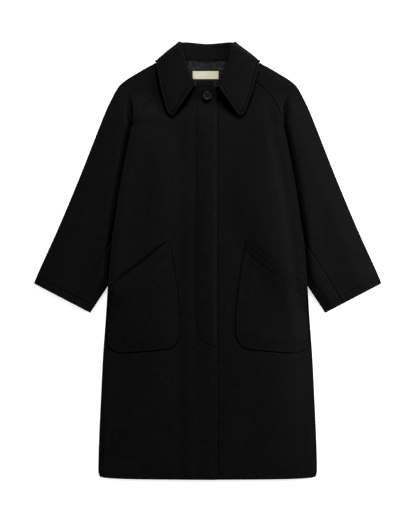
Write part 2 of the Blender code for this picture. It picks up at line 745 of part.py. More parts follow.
def collar_row(at, crown):
    """Points of one section of the collar: up the stand, over the roll and down the leaf."""
    stand_steps, roll_steps, leaf_steps = 3, 6, 6
    to_neck = unit(at.neck_x - at.roll_x, at.neck_h - at.roll_h)
    to_edge = unit(at.edge_x - at.roll_x, at.edge_h - at.roll_h)
    inward = unit(to_neck[0] + to_edge[0], to_neck[1] + to_edge[1])
    apart = (0.0, 0.0, at.spread)
    neck = (at.neck_x, at.neck_h, at.neck_z)
    edge = (at.edge_x, at.edge_h, at.edge_z)
    peak = (at.roll_x, at.roll_h, at.roll_z)
    middle = (at.roll_x + at.turn * inward[0], at.roll_h + at.turn * inward[1], at.roll_z)
    on_stand = tuple(m - s for m, s in zip(middle, apart))
    on_leaf = tuple(m + s for m, s in zip(middle, apart))
    row = []
    for step in range(stand_steps):
        share = step / stand_steps
        row.append(tuple(a + (b - a) * share for a, b in zip(neck, on_stand)))
    for step in range(roll_steps):
        angle = math.pi * step / roll_steps
        row.append(tuple(
            m + (a - m) * math.cos(angle) + (p - m) * math.sin(angle)
            for m, a, p in zip(middle, on_stand, peak)
        ))
    for step in range(leaf_steps + 1):
        share = step / leaf_steps
        x, h, z = (a + (b - a) * share for a, b in zip(on_leaf, edge))
        row.append((x, h, z + crown * 4 * share * (1 - share)))
    return [(x, h, max(z, COLLAR_CLOTH / 2)) for x, h, z in row]


def folded(above, below, angle):
    """A row of the side fold, on half ellipses that join the row above to the row below."""
    row = []
    for top, foot in zip(above, below):
        middle = [(a + b) / 2 for a, b in zip(top, foot)]
        reach = min(math.dist(top, foot) / 2, FOLD_REACH) * math.sin(angle)
        out = (SIDE_FOLD[0] * reach, SIDE_FOLD[1] * reach, 0.0)
        row.append(tuple(m + (t - m) * math.cos(angle) + o for m, t, o in zip(middle, top, out)))
    return row


def make_collar(parts):
    """Stand, roll and leaf in one strip, from one front end round the neck to the other."""
    last = len(COLLAR_FRONT) - 1
    fold_steps = 6
    behind = [
        collar_row(collar_station(COLLAR_BACK, step / 3, True), 0.0)
        for step in range(3 * len(COLLAR_BACK) - 2)
    ]
    rows = []
    for side in (+1, -1):
        half = []
        for step in range(2 * last + 1):
            t = step / 2
            at = collar_station(COLLAR_FRONT, t, False)
            shift = ROLL_SHIFT[side] * smooth((t - ROLL_SHIFT_FROM) / (last - ROLL_SHIFT_FROM))
            lean = COLLAR_LEAN * smooth(1.0 - t / last)
            lower = ROLL_LIFT[side] * smooth(t / 1.5) * smooth((last - t) / 2.5)
            at = at._replace(roll_x=at.roll_x + shift, roll_z=at.roll_z + lower)
            half.append((lean, collar_row(at, COLLAR_CROWN[side])))
        above = half[-1][1]
        for step in range(1, fold_steps):
            half.append((0.0, folded(above, behind[0], math.pi * step / fold_steps)))
        half += [(0.0, row) for row in behind]
        order = half if side > 0 else half[-2::-1]
        for lean, row in order:
            rows.append([(side * x + lean, h, z) for x, h, z in row])
    cloth("collar", rows, COLLAR_CLOTH, WOOL, parts)


def make_button(parts):
    """The top button: a turned disc with a rim and a dished face."""
    rest = 0.0
    for step in range(24):
        angle = 2 * math.pi * step / 24
        out = BUTTON_RADIUS * math.cos(angle) - BUTTON_ACROSS
        height = BUTTON_HEIGHT + BUTTON_RADIUS * math.sin(angle)
        rest = max(rest, front_top(-1, out, height) + LAYER)
    inside = BUTTON_RADIUS - BUTTON_RIM
    profile = (
        (0.0, 0.0),
        (BUTTON_RADIUS - BUTTON_ROUND, 0.0),
        (BUTTON_RADIUS, BUTTON_ROUND),
        (BUTTON_RADIUS, BUTTON_THICK - BUTTON_ROUND),
        (BUTTON_RADIUS - BUTTON_ROUND, BUTTON_THICK),
        (inside + BUTTON_ROUND / 2, BUTTON_THICK),
        (inside - BUTTON_ROUND, BUTTON_THICK - BUTTON_DISH),
        (0.0, BUTTON_THICK - BUTTON_DISH),
    )
    bm = bmesh.new()
    points = [bm.verts.new((r, 0.0, z)) for r, z in profile]
    lines = [bm.edges.new(pair) for pair in zip(points, points[1:])]
    bmesh.ops.spin(
        bm, geom=points + lines, axis=(0.0, 0.0, 1.0), cent=(0.0, 0.0, 0.0),
        angle=2 * math.pi, steps=32, use_merge=True,
    )
    bmesh.ops.remove_doubles(bm, verts=bm.verts, dist=0.00001)
    bmesh.ops.recalc_face_normals(bm, faces=bm.faces)
    bmesh.ops.translate(bm, verts=bm.verts, vec=(BUTTON_ACROSS, BUTTON_HEIGHT - LENGTH / 2, rest))
    mesh = bpy.data.meshes.new("top_button")
    bm.to_mesh(mesh)
    bm.free()
    add_object("top_button", mesh, HORN, parts)


def main():
    for found in list(bpy.data.objects):
        bpy.data.objects.remove(found)
    parts = bpy.data.collections.new("long_coat")
    bpy.context.scene.collection.children.link(parts)
    make_back(parts)
    for side, word in ((+1, "left"), (-1, "right")):
        make_front(side, f"front_{word}", parts)
        make_sleeve_front(side, f"sleeve_front_{word}", parts)
        make_sleeve_back(side, f"sleeve_back_{word}", parts)
        make_pocket(side, f"pocket_{word}", parts)
    make_inside(parts)
    make_collar(parts)
    make_button(parts)


main()
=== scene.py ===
"""Looks of a long wool coat that lies flat on its back.

The script dresses the coat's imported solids.  Each sewn panel gets a finer wall of cloth on the same form,
with its soft folds, rolled edges, seams and stitches.  Metres, +Z up, the collar towards +Y and the wearer's
left at +X.  Heights in the tables run up the coat from the lowest point of its hem, and half widths run out
from its centre line.
"""

import math
from collections import namedtuple

import bmesh
import bpy
import numpy as np
from bpy.props import FloatProperty, FloatVectorProperty, PointerProperty
from mathutils import Matrix, Vector


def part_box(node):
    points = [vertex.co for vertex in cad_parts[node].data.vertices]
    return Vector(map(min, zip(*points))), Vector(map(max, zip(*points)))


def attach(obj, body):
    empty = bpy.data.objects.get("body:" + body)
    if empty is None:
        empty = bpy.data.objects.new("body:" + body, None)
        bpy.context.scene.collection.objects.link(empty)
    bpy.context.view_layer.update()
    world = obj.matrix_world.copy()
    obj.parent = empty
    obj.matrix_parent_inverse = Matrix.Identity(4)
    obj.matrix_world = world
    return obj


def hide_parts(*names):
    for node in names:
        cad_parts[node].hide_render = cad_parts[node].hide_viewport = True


bl_info = {
    "name": "Long coat looks",
    "version": (1, 0, 0),
    "blender": (4, 5, 0),
    "location": "View3D > Sidebar > Coat",
    "description": "Dresses a laid-out long coat with wool, lining, labels, button and stitches",
    "category": "Object",
}

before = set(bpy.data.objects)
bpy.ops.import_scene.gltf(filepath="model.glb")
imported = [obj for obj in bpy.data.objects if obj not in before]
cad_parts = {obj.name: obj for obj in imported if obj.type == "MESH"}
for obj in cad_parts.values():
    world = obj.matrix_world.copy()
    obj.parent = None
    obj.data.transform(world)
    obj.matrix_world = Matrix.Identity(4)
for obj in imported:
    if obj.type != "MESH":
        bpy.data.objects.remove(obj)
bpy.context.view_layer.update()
WAVE = math.pi / 10       # a wave texture of scale 1 repeats after this length

Edge = namedtuple("Edge", "height half_width")
Fold = namedtuple("Fold", "side across height lean length inner outer depth")
Crease = namedtuple("Crease", "across height lean length width depth")
Station = namedtuple(
    "Station", "neck_x neck_h neck_z roll_x roll_h roll_z turn spread edge_x edge_h edge_z"
)
Zone = namedtuple("Zone", "start end step")
Softbox = namedtuple("Softbox", "name turn rise reach size power")

# Cloth
LENGTH = 1.138            # lowest point of the hem to the top of the collar
CLOTH = 0.0025            # wool wall
COLLAR_CLOTH = 0.0032     # two layers of the wool, sewn and turned
LINING_CLOTH = 0.001
LABEL_CLOTH = 0.0008
SEAM = 0.0004             # clearance between two pieces that are sewn edge to edge
LAYER = 0.0004            # clearance between two pieces that lie on each other
LOFT = 0.0017             # how far a layer stands off the one below it, away from the edges
EDGE_ROLL = 0.020         # width over which a layer comes down to its edge
EDGE_ROUNDING = 0.40      # a wall's edges are rounded by this share of its thickness
SHARP_TURN = math.radians(55)                # edges that turn more than this are rounded
FRONT_OVERLAP = {+1: 0.0280, -1: 0.0245}     # how far each front runs past the middle of the coat
# How wide the slopes are where a layer climbs on to another one
MARGIN = 0.012            # the slope ends this far before the layer below begins
TUCK_SLOPE = 0.110        # a front on to the sleeve that runs under it
SLEEVE_SLOPE = 0.060      # a sleeve on to the back
FALL_SLOPE = 0.080        # the back on to the part of the collar that is folded under it
OVERLAP_SLOPE = 0.040     # the right front on to the left one
# Seams and stitches
SEAM_WIDTH = 0.0022       # width of the dent at a seam
SEAM_SWELL = 0.4          # beside the raglan seam the sleeve swells by this share of the dent's depth
SEAM_SWELL_AT = 0.0055    # this far from the seam
SEAM_SWELL_WIDTH = 0.0030
STITCH_GROOVE = 0.0016    # width of the groove that a stitch line pulls
STITCH_SUNK = 0.55        # a thread lies this share of the groove's depth below the cloth
STITCH_HALF = 0.40        # half a stitch's length, as a share of the pitch
STITCH_END = 0.002        # a stitch line stops this far short of an edge
STITCH_POINTS = 400       # points that a long stitch line is measured at
# Spacing of the panels' points
STITCH_FINE = 0.008       # points are close together this far from a stitch line
RIM_FINE = 0.006          # and this far from a cuff's stitches and a pocket's lower edge
HIDDEN_MESH = 1.6         # hidden panels have steps this much wider
TUCK_MESH = 1.5           # and sleeves inside the tuck
RAGLAN_FINE = 1.5         # rows beside a raglan seam are closer by this factor
FLY_MESH = 0.75           # steps on the fly and the pockets, as shares of the mesh step
POCKET_MESH = 0.7
COARSE_CURVE = 6          # points from one row of a table to the next, where a curve is only measured from

# Side of the body: from the hem corner up the side to the end of the raglan seam
BODY_SIDE = (
    Edge(0.0083, 0.2805), Edge(0.0200, 0.2840), Edge(0.0400, 0.2842), Edge(0.1070, 0.2823),
    Edge(0.2160, 0.2773), Edge(0.3250, 0.2718), Edge(0.4150, 0.2652), Edge(0.5060, 0.2590),
    Edge(0.6100, 0.2510), Edge(0.6750, 0.2415), Edge(0.7530, 0.2300), Edge(0.8180, 0.2180),
    Edge(0.8570, 0.2102), Edge(0.8830, 0.2050), Edge(0.9200, 0.1975),
)
BODY_HALF = max(edge.half_width for edge in BODY_SIDE)
# Hem, from the centre line out to the corner
HEM = (
    Edge(0.0000, 0.0000), Edge(0.0006, 0.1200), Edge(0.0016, 0.2000), Edge(0.0031, 0.2400),
    Edge(0.0054, 0.2690), Edge(0.0083, 0.2805),
)
# Raglan seams, from the body's side to the neckline
FRONT_RAGLAN = {
    +1: (
        Edge(0.9200, 0.1975), Edge(0.9350, 0.1938), Edge(0.9505, 0.1880), Edge(0.9690, 0.1800),
        Edge(0.9890, 0.1690), Edge(1.0080, 0.1540), Edge(1.0210, 0.1390), Edge(1.0340, 0.1220),
        Edge(1.0550, 0.0880),
    ),
    -1: (
        Edge(0.9200, 0.1975), Edge(0.9400, 0.1858), Edge(0.9535, 0.1772), Edge(0.9740, 0.1612),
        Edge(0.9870, 0.1485), Edge(1.0080, 0.1320), Edge(1.0270, 0.1150), Edge(1.0550, 0.0880),
    ),
}
RAGLAN_END = 0.9200       # height where the seam meets the body's side
ROW_DIP = 0.060           # the panels' rows run this much lower at the centre line than at that height
BACK_RAGLAN = (
    Edge(0.9200, 0.1975), Edge(0.9800, 0.1720), Edge(1.0250, 0.1340), Edge(1.0650, 0.0980),
    Edge(1.0970, 0.0700),
)
# Necklines, from the centre line out to the raglan seam
FRONT_NECK = (
    Edge(1.0195, 0.0000), Edge(1.0205, 0.0260), Edge(1.0250, 0.0500), Edge(1.0360, 0.0700),
    Edge(1.0550, 0.0880),
)
BACK_NECK = (
    Edge(1.0940, 0.0000), Edge(1.0950, 0.0350), Edge(1.0970, 0.0700),
)
FRONT_CORNER = 0.008      # radius of the front's free top corner
CORNER_BEND = 0.3         # its middle lies this share of the radius in from both edges
# Patch pocket: mouth from its inner to its outer end, then the other three edges
POCKET_MOUTH = (
    Edge(0.6200, 0.1030), Edge(0.5640, 0.1740), Edge(0.5040, 0.2530),
)
POCKET_INNER = (
    Edge(0.3525, 0.0840), Edge(0.3640, 0.0775), Edge(0.3800, 0.0738), Edge(0.4000, 0.0730),
    Edge(0.4400, 0.0745), Edge(0.5060, 0.0815), Edge(0.5850, 0.0940), Edge(0.6200, 0.1030),
)
POCKET_OUTER = (
    Edge(0.3420, 0.2550), Edge(0.3520, 0.2595), Edge(0.3650, 0.2613), Edge(0.3900, 0.2612),
    Edge(0.4670, 0.2565), Edge(0.5040, 0.2530),
)
POCKET_BOTTOM = (
    Edge(0.3525, 0.0840), Edge(0.3450, 0.0930), Edge(0.3400, 0.1060), Edge(0.3360, 0.1400),
    Edge(0.3320, 0.1900), Edge(0.3300, 0.2220), Edge(0.3325, 0.2390), Edge(0.3420, 0.2550),
)
POCKET_LOW = min(edge.height for edge in POCKET_BOTTOM)
POCKET_LAYER = 0.0001     # clearance under a pocket
POCKET_PUFF = 0.0014      # how far the pocket stands off the front in its middle
POCKET_PUFF_WIDTH = 0.040           # width over which it rises from its sewn edges
POCKET_HEM = 0.025        # the mouth's hem is stitched down this far in
POCKET_HEM_PULL = 0.65    # depth of its groove, as a share of other stitch lines' depth
POCKET_HEM_GROOVE = 0.0018
POCKET_HEM_RISE = 0.0002  # the doubled hem stands this much higher
POCKET_HEM_SLOPE = 0.012
POCKET_HEM_FINE = (0.052, 0.012)    # rows are close together between these lengths below the mouth
POCKET_SINK = 0.0014      # the cloth under the pocket's stitched edge is pressed in this much
POCKET_ROLL = 0.0040      # width over which that sets in
POCKET_ROLL_OUTSIDE = 0.6           # share of that width outside the pocket
MOUTH_EASE = 0.6          # it is this share less at the mouth, which isn't sewn
MOUTH_EASE_WIDTH = 0.008
# Inside of the neck
LINING_HALF = 0.078
LINING_LOW = 0.985
LINING_HIGH = 1.0925
LINING_SEAM = -0.0040     # place of the lining's centre seam
LINING_SEAM_DEPTH = 0.0006
LINING_SEAM_WIDTH = 0.0010
LINING_PLEAT = 0.0005     # the lining swells this much beside that seam
LINING_PLEAT_AT = 0.0022
LINING_PLEAT_WIDTH = 0.0016
NECK_STEP = 0.0012        # distance between points of the lining and the labels
NECK_LABEL = (-0.0055, 1.0514, 0.067, 0.0205)      # across, height, width, depth
SIZE_LABEL = (-0.0060, 1.0298, 0.044, 0.016)
LABEL_STITCH = 2          # a label is stitched along this column of points from either end
# Top button
BUTTON_RIM = 0.0030
BUTTON_DISH = 0.0014      # depth of the dish inside the rim
BUTTON_LIP = 0.0012       # the rim's edges are rounded by this much
BUTTON_STEPS = 72
BUTTON_WELD = 1e-6        # points closer than this are one
BUTTON_SHARP = math.radians(50)     # edges that turn more than this stay sharp
HOLE_AT = 0.0022          # half the distance between two holes
HOLE_RADIUS = 0.0010
HOLE_STEPS = 16
THREAD_LIFT = 0.0002      # the thread lies this far above the dish
# Outer edge of a sleeve and shoulder, from the cuff up to the neck
SLEEVE_OUTER = (
    Edge(0.5104, 0.4518), Edge(0.5440, 0.4378), Edge(0.6530, 0.3885), Edge(0.7800, 0.3352),
    Edge(0.9080, 0.2848), Edge(0.9600, 0.2638), Edge(0.9910, 0.2490), Edge(1.0120, 0.2378),
    Edge(1.0270, 0.2270), Edge(1.0420, 0.2075), Edge(1.0570, 0.1826), Edge(1.0722, 0.1567),
    Edge(1.0785, 0.1440), Edge(1.0815, 0.1398), Edge(1.0842, 0.1357), Edge(1.0812, 0.1329),
    Edge(1.0755, 0.1200), Edge(1.0790, 0.1060), Edge(1.0870, 0.0900),
)
ARM_SHARE = 0.75          # share of that edge which lies beside the underarm and armpit rows
SEAM_SHARE = 10 / 18      # share of the arm that lies beside the underarm seam
# Inner fold of a sleeve, from the cuff to the armpit, mostly tucked under the body
SLEEVE_INNER = (
    Edge(0.4345, 0.3065), Edge(0.5065, 0.2590), Edge(0.5920, 0.2050), Edge(0.6650, 0.1650),
    Edge(0.7350, 0.1500),
)
TUCK_LOW = SLEEVE_INNER[1].height        # the sleeve runs under the body from here up
# Underarm seam, which lies on the front of the sleeve
UNDERARM_SEAM = (
    Edge(0.4578, 0.3510), Edge(0.4867, 0.3349), Edge(0.5180, 0.3164), Edge(0.5580, 0.2904),
    Edge(0.5985, 0.2644), Edge(0.6450, 0.2350), Edge(0.6920, 0.2000), Edge(0.7350, 0.1640),
)
# Sleeve seam inside the tuck, from the armpit to the end of the raglan seam
ARMPIT = (
    Edge(0.7350, 0.1500), Edge(0.8000, 0.1590), Edge(0.8600, 0.1750), Edge(0.9200, 0.1979),
)
CUFF_HEM = 0.020          # the cuff's hem is stitched down this far in
SLEEVE_FRONT_WIDTH = 0.130          # typical widths, which columns of points are spaced for
SLEEVE_BACK_WIDTH = 0.150
SLEEVE_STRIP_WIDTH = 0.050          # the strip of the back half that is folded over
SLEEVE_FINE = 0.022       # columns are close together this far from the underarm seam
TURN_STEPS = 8            # steps round the back half's fold
# Lower edge of the collar behind the neck, under the coat
COLLAR_BACK_EDGE = (
    Edge(1.0480, 0.0000), Edge(1.0560, 0.0700), Edge(1.0780, 0.1300),
)
# Groove in the sleeve's front, from the top of the tuck up towards the shoulder
GROOVE = (
    Edge(0.9200, 0.2000), Edge(0.9350, 0.2015), Edge(0.9480, 0.2022), Edge(0.9610, 0.2028),
    Edge(0.9740, 0.2032), Edge(0.9870, 0.2038), Edge(1.0000, 0.2055), Edge(1.0210, 0.2115),
)
GROOVE_TOP = GROOVE[-1].height
# Edge of the cloth that lies over the groove, and runs on from the side of the body
GROOVE_EDGE = (
    Edge(0.9200, 0.1977), Edge(0.9350, 0.1946), Edge(0.9480, 0.1928), Edge(0.9610, 0.1926),
    Edge(0.9740, 0.1945), Edge(0.9870, 0.1975), Edge(1.0210, 0.2060),
)
GROOVE_WIDTH = {+1: 0.003, -1: 0.004}    # the sleeve climbs to that edge over this width
GROOVE_START = 0.4        # share of that width at its lower end
GROOVE_WIDEN = 0.025      # length over which it then widens
GROOVE_LENGTH = 0.075     # the groove dies out over this length below the shoulder
RIDGE_START = 0.003       # lengths over which the climb begins above the tuck and ends below the shoulder
RIDGE_FADE = 0.040
TUCK_DIP = 0.0019         # the sleeve sinks this much just before it runs under the body
TUCK_DIP_WIDTH = 0.010
SLEEVE_CROWN = 0.0060     # how far the sleeve's upper wall rises between its edges
CROWN_RISE = 0.018        # width of that rise
CROWN_RISE_HIGH = {+1: 0.009, -1: 0.010}      # and beside the groove
CROWN_BLEND = 0.030       # height over which the one width passes into the other
CROWN_FADE = {+1: 0.075, -1: 0.090}      # the rise dies out over this length below the shoulder
SIDE_LIP = {+1: 0.0050, -1: 0.0055}      # the body's edge stands this far off the sleeve that runs under it
LIP_WIDTH = {+1: 0.040, -1: 0.085}       # and comes down again over this width
LIP_FADE = 0.070          # length over which the lip begins and ends
LIP_TOP = 1.005           # the lip runs on across the raglan seam and dies out here
LIP_DIP = 0.4             # where it crosses that seam's end it is this share lower
LIP_DIP_LENGTH = 0.015
# Collar sections: neck edge, roll line and outer edge.  The roll is half an ellipse: turn is its depth and
# spread is half its width, positive where the leaf lies above the stand.
# In front, from the collar's end up to the side fold
COLLAR_FRONT = (
    Station(0.0360, 1.0175, 0.0152, 0.0266, 1.0290, 0.0186, 0.0030, +0.0026, 0.0845, 0.9440, 0.0148),
    Station(0.0550, 1.0240, 0.0144, 0.0328, 1.0380, 0.0184, 0.0030, +0.0026, 0.1000, 0.9524, 0.0146),
    Station(0.0720, 1.0360, 0.0138, 0.0408, 1.0520, 0.0184, 0.0030, +0.0026, 0.1105, 0.9840, 0.0144),
    Station(0.0860, 1.0520, 0.0140, 0.0495, 1.0700, 0.0186, 0.0030, +0.0026, 0.1212, 1.0180, 0.0142),
    Station(0.0885, 1.0680, 0.0144, 0.0585, 1.0920, 0.0190, 0.0030, +0.0026, 0.1285, 1.0500, 0.0144),
    Station(0.0845, 1.0810, 0.0148, 0.0652, 1.1120, 0.0190, 0.0030, +0.0026, 0.1325, 1.0680, 0.0138),
    Station(0.0825, 1.0920, 0.0152, 0.0705, 1.1280, 0.0188, 0.0030, +0.0026, 0.1330, 1.0830, 0.0128),
)
# Behind, from the side fold to the middle of the back
COLLAR_BACK = (
    Station(0.0825, 1.0925, 0.0097, 0.0674, 1.1352, 0.0058, 0.0042, -0.0041, 0.1305, 1.0815, 0.0016),
    Station(0.0580, 1.0930, 0.0099, 0.0530, 1.1356, 0.0057, 0.0042, -0.0041, 0.1100, 1.0692, 0.0016),
    Station(0.0340, 1.0902, 0.0098, 0.0330, 1.1336, 0.0057, 0.0042, -0.0041, 0.0740, 1.0570, 0.0016),
    Station(0.0000, 1.0885, 0.0098, 0.0000, 1.1312, 0.0057, 0.0042, -0.0041, 0.0000, 1.0480, 0.0016),
)
COLLAR_REACH = 0.138      # half width of the collar where it folds round the neck
SIDE_FOLD = (0.78, 0.62)  # direction in which the collar's side fold bulges
FOLD_REACH = 0.0088       # how far it bulges at most
COLLAR_LEAN = -0.0050     # the collar's front ends lie a little to one side
ROLL_SHIFT = {+1: -0.0090, -1: 0.0}       # near the shoulder the left leaf rolls further in
ROLL_SHIFT_FROM = 2.5     # station where that begins
LEAF_LIFT = {+1: 0.0, -1: 0.0003}         # how far each leaf's edge is moved off the coat
ROLL_LIFT = {+1: 0.0, -1: -0.0030}        # the right leaf's roll lies lower, so that leaf is flatter
FRONT_FADE = 2.5          # both die out over this many stations before the side fold
END_FADE = 1.5            # and the roll's sets in over this many from the front end
COLLAR_CROWN = {+1: 0.0030, -1: 0.0014}   # how far a leaf bulges between the roll and its outer edge
COLLAR_BAND = 0.0080      # the collar's edge is stitched this far in
COLLAR_BAND_RISE = 0.0013           # and is this much thicker up to there
COLLAR_GROOVE = 0.0017    # width of the groove that its stitches pull
COLLAR_SUNK = 0.50        # its threads lie this share of the groove's depth below the cloth
PAST_BAND = 1.1           # near a corner a row of stitches stops this many bands from the other edge
STAND_STEPS = 8           # points up the stand
ROLL_STEPS = 14           # and over the roll
LEAF_LENGTH = 0.100       # typical length of the leaf, from the roll to its outer edge
LEAF_FINE = 0.014         # points are close together this far from that edge
LEAF_BLEND = 6            # the stitched edge fades out over this many points up the roll
ROLL_STITCHED = 4         # and its stitches begin this many points up the roll
END_STEPS = 12            # rows from the front end to the second station
FRONT_STEPS = 8           # and between the other stations in front
BACK_STEPS = 10           # and behind
SIDE_STEPS = 14           # steps round the side fold
# Fly: the hidden button strip of the right front
FLY_STITCH = 0.0303       # half width of the long stitch line on the right front
FLY_CURVE = (
    Edge(0.4020, 0.0303), Edge(0.3850, 0.0265), Edge(0.3650, 0.0178), Edge(0.3550, 0.0048),
    Edge(0.3500, -0.0104), Edge(0.3465, -0.0245),
)
FLY_BEND = FLY_CURVE[0].height      # the stitch line bends to the free edge below this
FLY_LOW = FLY_CURVE[-1].height      # lower end of the fly
FLY_LIFT = 0.0004         # the fly's extra layers lift the right front this much
FLY_SOFT = 0.026          # width over which the lift sets in
FLY_SOFT_OUTSIDE = 0.35   # share of that width outside the stitch line
FLY_RIDGE = 0.0042        # the layers also round the right front into a ridge
FLY_RIDGE_LOW = 0.0018    # the ridge's height below the fly
FLY_STEP = 0.120          # length over which the ridge changes there
FLY_RIDGE_SHIFT = 0.020   # its crest lies this far on the right front's side
FLY_RIDGE_WIDTH = 0.048   # its width towards the free edge
FLY_RIDGE_REACH = 0.120   # and away from it
FLY_TOP = 0.985           # lift and ridge die out below the collar
FLY_FADE = 0.050
FLY_EDGE_ROLL = 0.010     # the fly rolls down to its free edge over this width
FLY_RIM = 0.0010          # the free edge is turned, so it is thicker by this much
FLY_RIM_WIDTH = 0.040
FLY_PULL = 0.8            # depth of its stitches' groove, as a share of other stitch lines' depth
FLY_GROOVE = 0.0026
EDGE_STITCH = 0.0075      # below the fly the free edge is stitched this far in
EDGE_SWELL = 0.35         # beside those stitches the cloth swells by this share of their depth
EDGE_SWELL_AT = 0.0035
EDGE_SWELL_WIDTH = 0.0020

# Soft folds in the fronts: side is +1 on the wearer's left, lean is the turn of the fold from upright, and
# inner and outer are its widths towards the centre line and towards the side
FRONT_FOLDS = (
    Fold(+1, 0.1500, 0.780, math.radians(-4), 0.44, 0.170, 0.055, +0.0080),
    Fold(+1, 0.1500, 0.420, math.radians(0), 0.66, 0.200, 0.105, +0.0125),
    Fold(+1, 0.0150, 0.660, math.radians(0), 0.52, 0.050, 0.075, +0.0035),
    Fold(+1, 0.1900, 0.215, math.radians(6), 0.30, 0.060, 0.045, +0.0020),
    Fold(+1, 0.2120, 0.465, math.radians(-25), 0.24, 0.036, 0.036, +0.0030),
    Fold(+1, 0.0550, 0.090, math.radians(20), 0.14, 0.035, 0.035, +0.0020),
    Fold(-1, 0.1300, 0.420, math.radians(0), 0.66, 0.200, 0.095, +0.0075),
    Fold(-1, 0.1020, 0.790, math.radians(2), 0.38, 0.120, 0.060, +0.0050),
    Fold(-1, 0.2050, 0.130, math.radians(-38), 0.20, 0.035, 0.035, +0.0022),
    Fold(-1, 0.1150, 0.280, math.radians(4), 0.34, 0.045, 0.045, +0.0015),
)
FOLD_TOP = 1.000          # the folds die out below the collar
FOLD_FADE = 0.080
FOLD_EDGE = {+1: 0.055, -1: 0.080}       # and over this width at the side
# Wrinkles in the neck's satin lining
LINING_CREASES = (
    Crease(-0.0480, 1.0800, math.radians(25), 0.030, 0.0044, +0.0026),
    Crease(-0.0330, 1.0830, math.radians(-20), 0.026, 0.0040, +0.0023),
    Crease(-0.0200, 1.0790, math.radians(12), 0.030, 0.0042, +0.0020),
    Crease(+0.0100, 1.0820, math.radians(-14), 0.026, 0.0040, +0.0024),
    Crease(+0.0240, 1.0800, math.radians(18), 0.030, 0.0044, +0.0022),
    Crease(+0.0400, 1.0780, math.radians(-28), 0.034, 0.0048, +0.0027),
    Crease(-0.0300, 1.0660, math.radians(80), 0.036, 0.0042, +0.0014),
    Crease(+0.0280, 1.0670, math.radians(100), 0.034, 0.0042, +0.0015),
    Crease(-0.0440, 1.0500, math.radians(30), 0.040, 0.0060, +0.0010),
    Crease(+0.0360, 1.0480, math.radians(-34), 0.040, 0.0060, +0.0010),
)

# Photo frame, camera and light
PIXEL = 0.0026            # metres of the coat in one pixel of the photo
PHOTO_PIXELS = (416, 520)
COAT_MIDDLE_PIXEL = 207.69          # column of the coat's middle
HEM_PIXEL = 479.7                   # row of the lowest point of its hem
PHOTO_CENTRE = (
    (PHOTO_PIXELS[0] / 2 - COAT_MIDDLE_PIXEL) * PIXEL,
    (HEM_PIXEL - PHOTO_PIXELS[1] / 2) * PIXEL - LENGTH / 2,
)
SENSOR = 36.0             # width of the camera's sensor, in millimetres
FLOOR_DROP = 0.0003       # the floor lies this far below the cloth, so that the two don't flicker
ROOM_LIGHT = 0.66         # even light from all sides
PANEL_GLOW = 0.50         # light that the floor gives off itself
FILM_BLACK = (0.0060, 0.0059, 0.0060)     # light below this comes out black, as in the photo
LIGHTS = (
    Softbox("top_softbox", math.radians(3), math.radians(25), 4.0, 1.2, 170.0),
    Softbox("right_softbox", math.radians(88), math.radians(14), 2.0, 0.5, 40.0),
)


def linear(hex_colour):
    """Linear red, green and blue of an sRGB hex colour."""
    channels = [int(hex_colour[k:k + 2], 16) / 255.0 for k in (1, 3, 5)]
    return tuple(c / 12.92 if c <= 0.04045 else ((c + 0.055) / 1.055) ** 2.4 for c in channels)


def length_setting(name, description, default, low, high):
    """A length that a user can change."""
    return FloatProperty(
        name=name, description=description, default=default, min=low, max=high, unit="LENGTH"
    )


def colour_setting(name, description, hex_colour):
    """A colour that a user can change."""
    return FloatVectorProperty(
        name=name, description=description, subtype="COLOR", size=3, min=0.0, max=1.0,
        default=linear(hex_colour),
    )


class CoatSizes(bpy.types.PropertyGroup):
    """Sizes of the coat's fine detail."""

    mesh_step: length_setting(
        "Mesh step", "Distance between points of a panel away from its seams", 0.0050, 0.002, 0.02
    )
    fine_step: length_setting(
        "Fine step", "Distance between points beside a seam or stitch line", 0.0014, 0.0008, 0.005
    )
    pocket_step: length_setting(
        "Pocket step", "Distance between points of a front around its pocket", 0.0024, 0.002, 0.01
    )
    seam_depth: length_setting("Seam depth", "How far the cloth rolls in at a seam", 0.0007, 0.0, 0.0012)
    stitch_depth: length_setting(
        "Stitch depth", "How far a stitch line pulls the cloth in", 0.0006, 0.0, 0.0012
    )
    stitch_pitch: length_setting("Stitch pitch", "Distance from one stitch to the next", 0.0036, 0.002, 0.01)
    stitch_width: length_setting("Thread width", "Width of the sewing thread", 0.0006, 0.0003, 0.001)
    nap: length_setting("Nap", "Size of the wool's fibre clumps as drawn", 0.0034, 0.0005, 0.01)
    cloud: length_setting("Clouds", "Size of the soft cloudy patches in the wool", 0.020, 0.005, 0.1)
    floor: length_setting("Floor", "Side of the square floor", 9.0, 2.0, 50.0)
    camera_height: length_setting("Camera height", "Height of the camera above the floor", 10.0, 2.0, 50.0)


class CoatColours(bpy.types.PropertyGroup):
    """Colours of the coat's materials."""

    wool: colour_setting("Wool", "Darker fibres of the wool", "#111111")
    wool_light: colour_setting("Wool, light", "Lighter fibres of the wool", "#19191a")
    satin: colour_setting("Satin", "Neck lining", "#1c1c1c")
    label: colour_setting("Label", "Woven neck label", "#c1bda6")
    tape: colour_setting("Tape", "Woven size tape", "#131313")
    horn: colour_setting("Horn", "Top button", "#0a0a0a")
    horn_light: colour_setting("Horn, light", "Lighter streaks of the top button", "#151514")
    thread: colour_setting("Thread", "Sewing thread", "#060607")
    floor: colour_setting("Floor", "Pale floor", "#f6f6f5")


# Plan curves


def smooth(share):
    """0 below 0, 1 above 1, and a soft S between."""
    share = np.clip(share, 0.0, 1.0)
    return share * share * (3.0 - 2.0 * share)


def bump(distance, width):
    """A soft bump of height 1 at distance 0."""
    return np.exp(-np.square(distance / width))


def width_at(edges, height):
    """Half width of an edge at a height."""
    return np.interp(height, [edge.height for edge in edges], [edge.half_width for edge in edges])


def height_at(edges, half_width):
    """Height of an edge at a half width."""
    return np.interp(half_width, [edge.half_width for edge in edges], [edge.height for edge in edges])


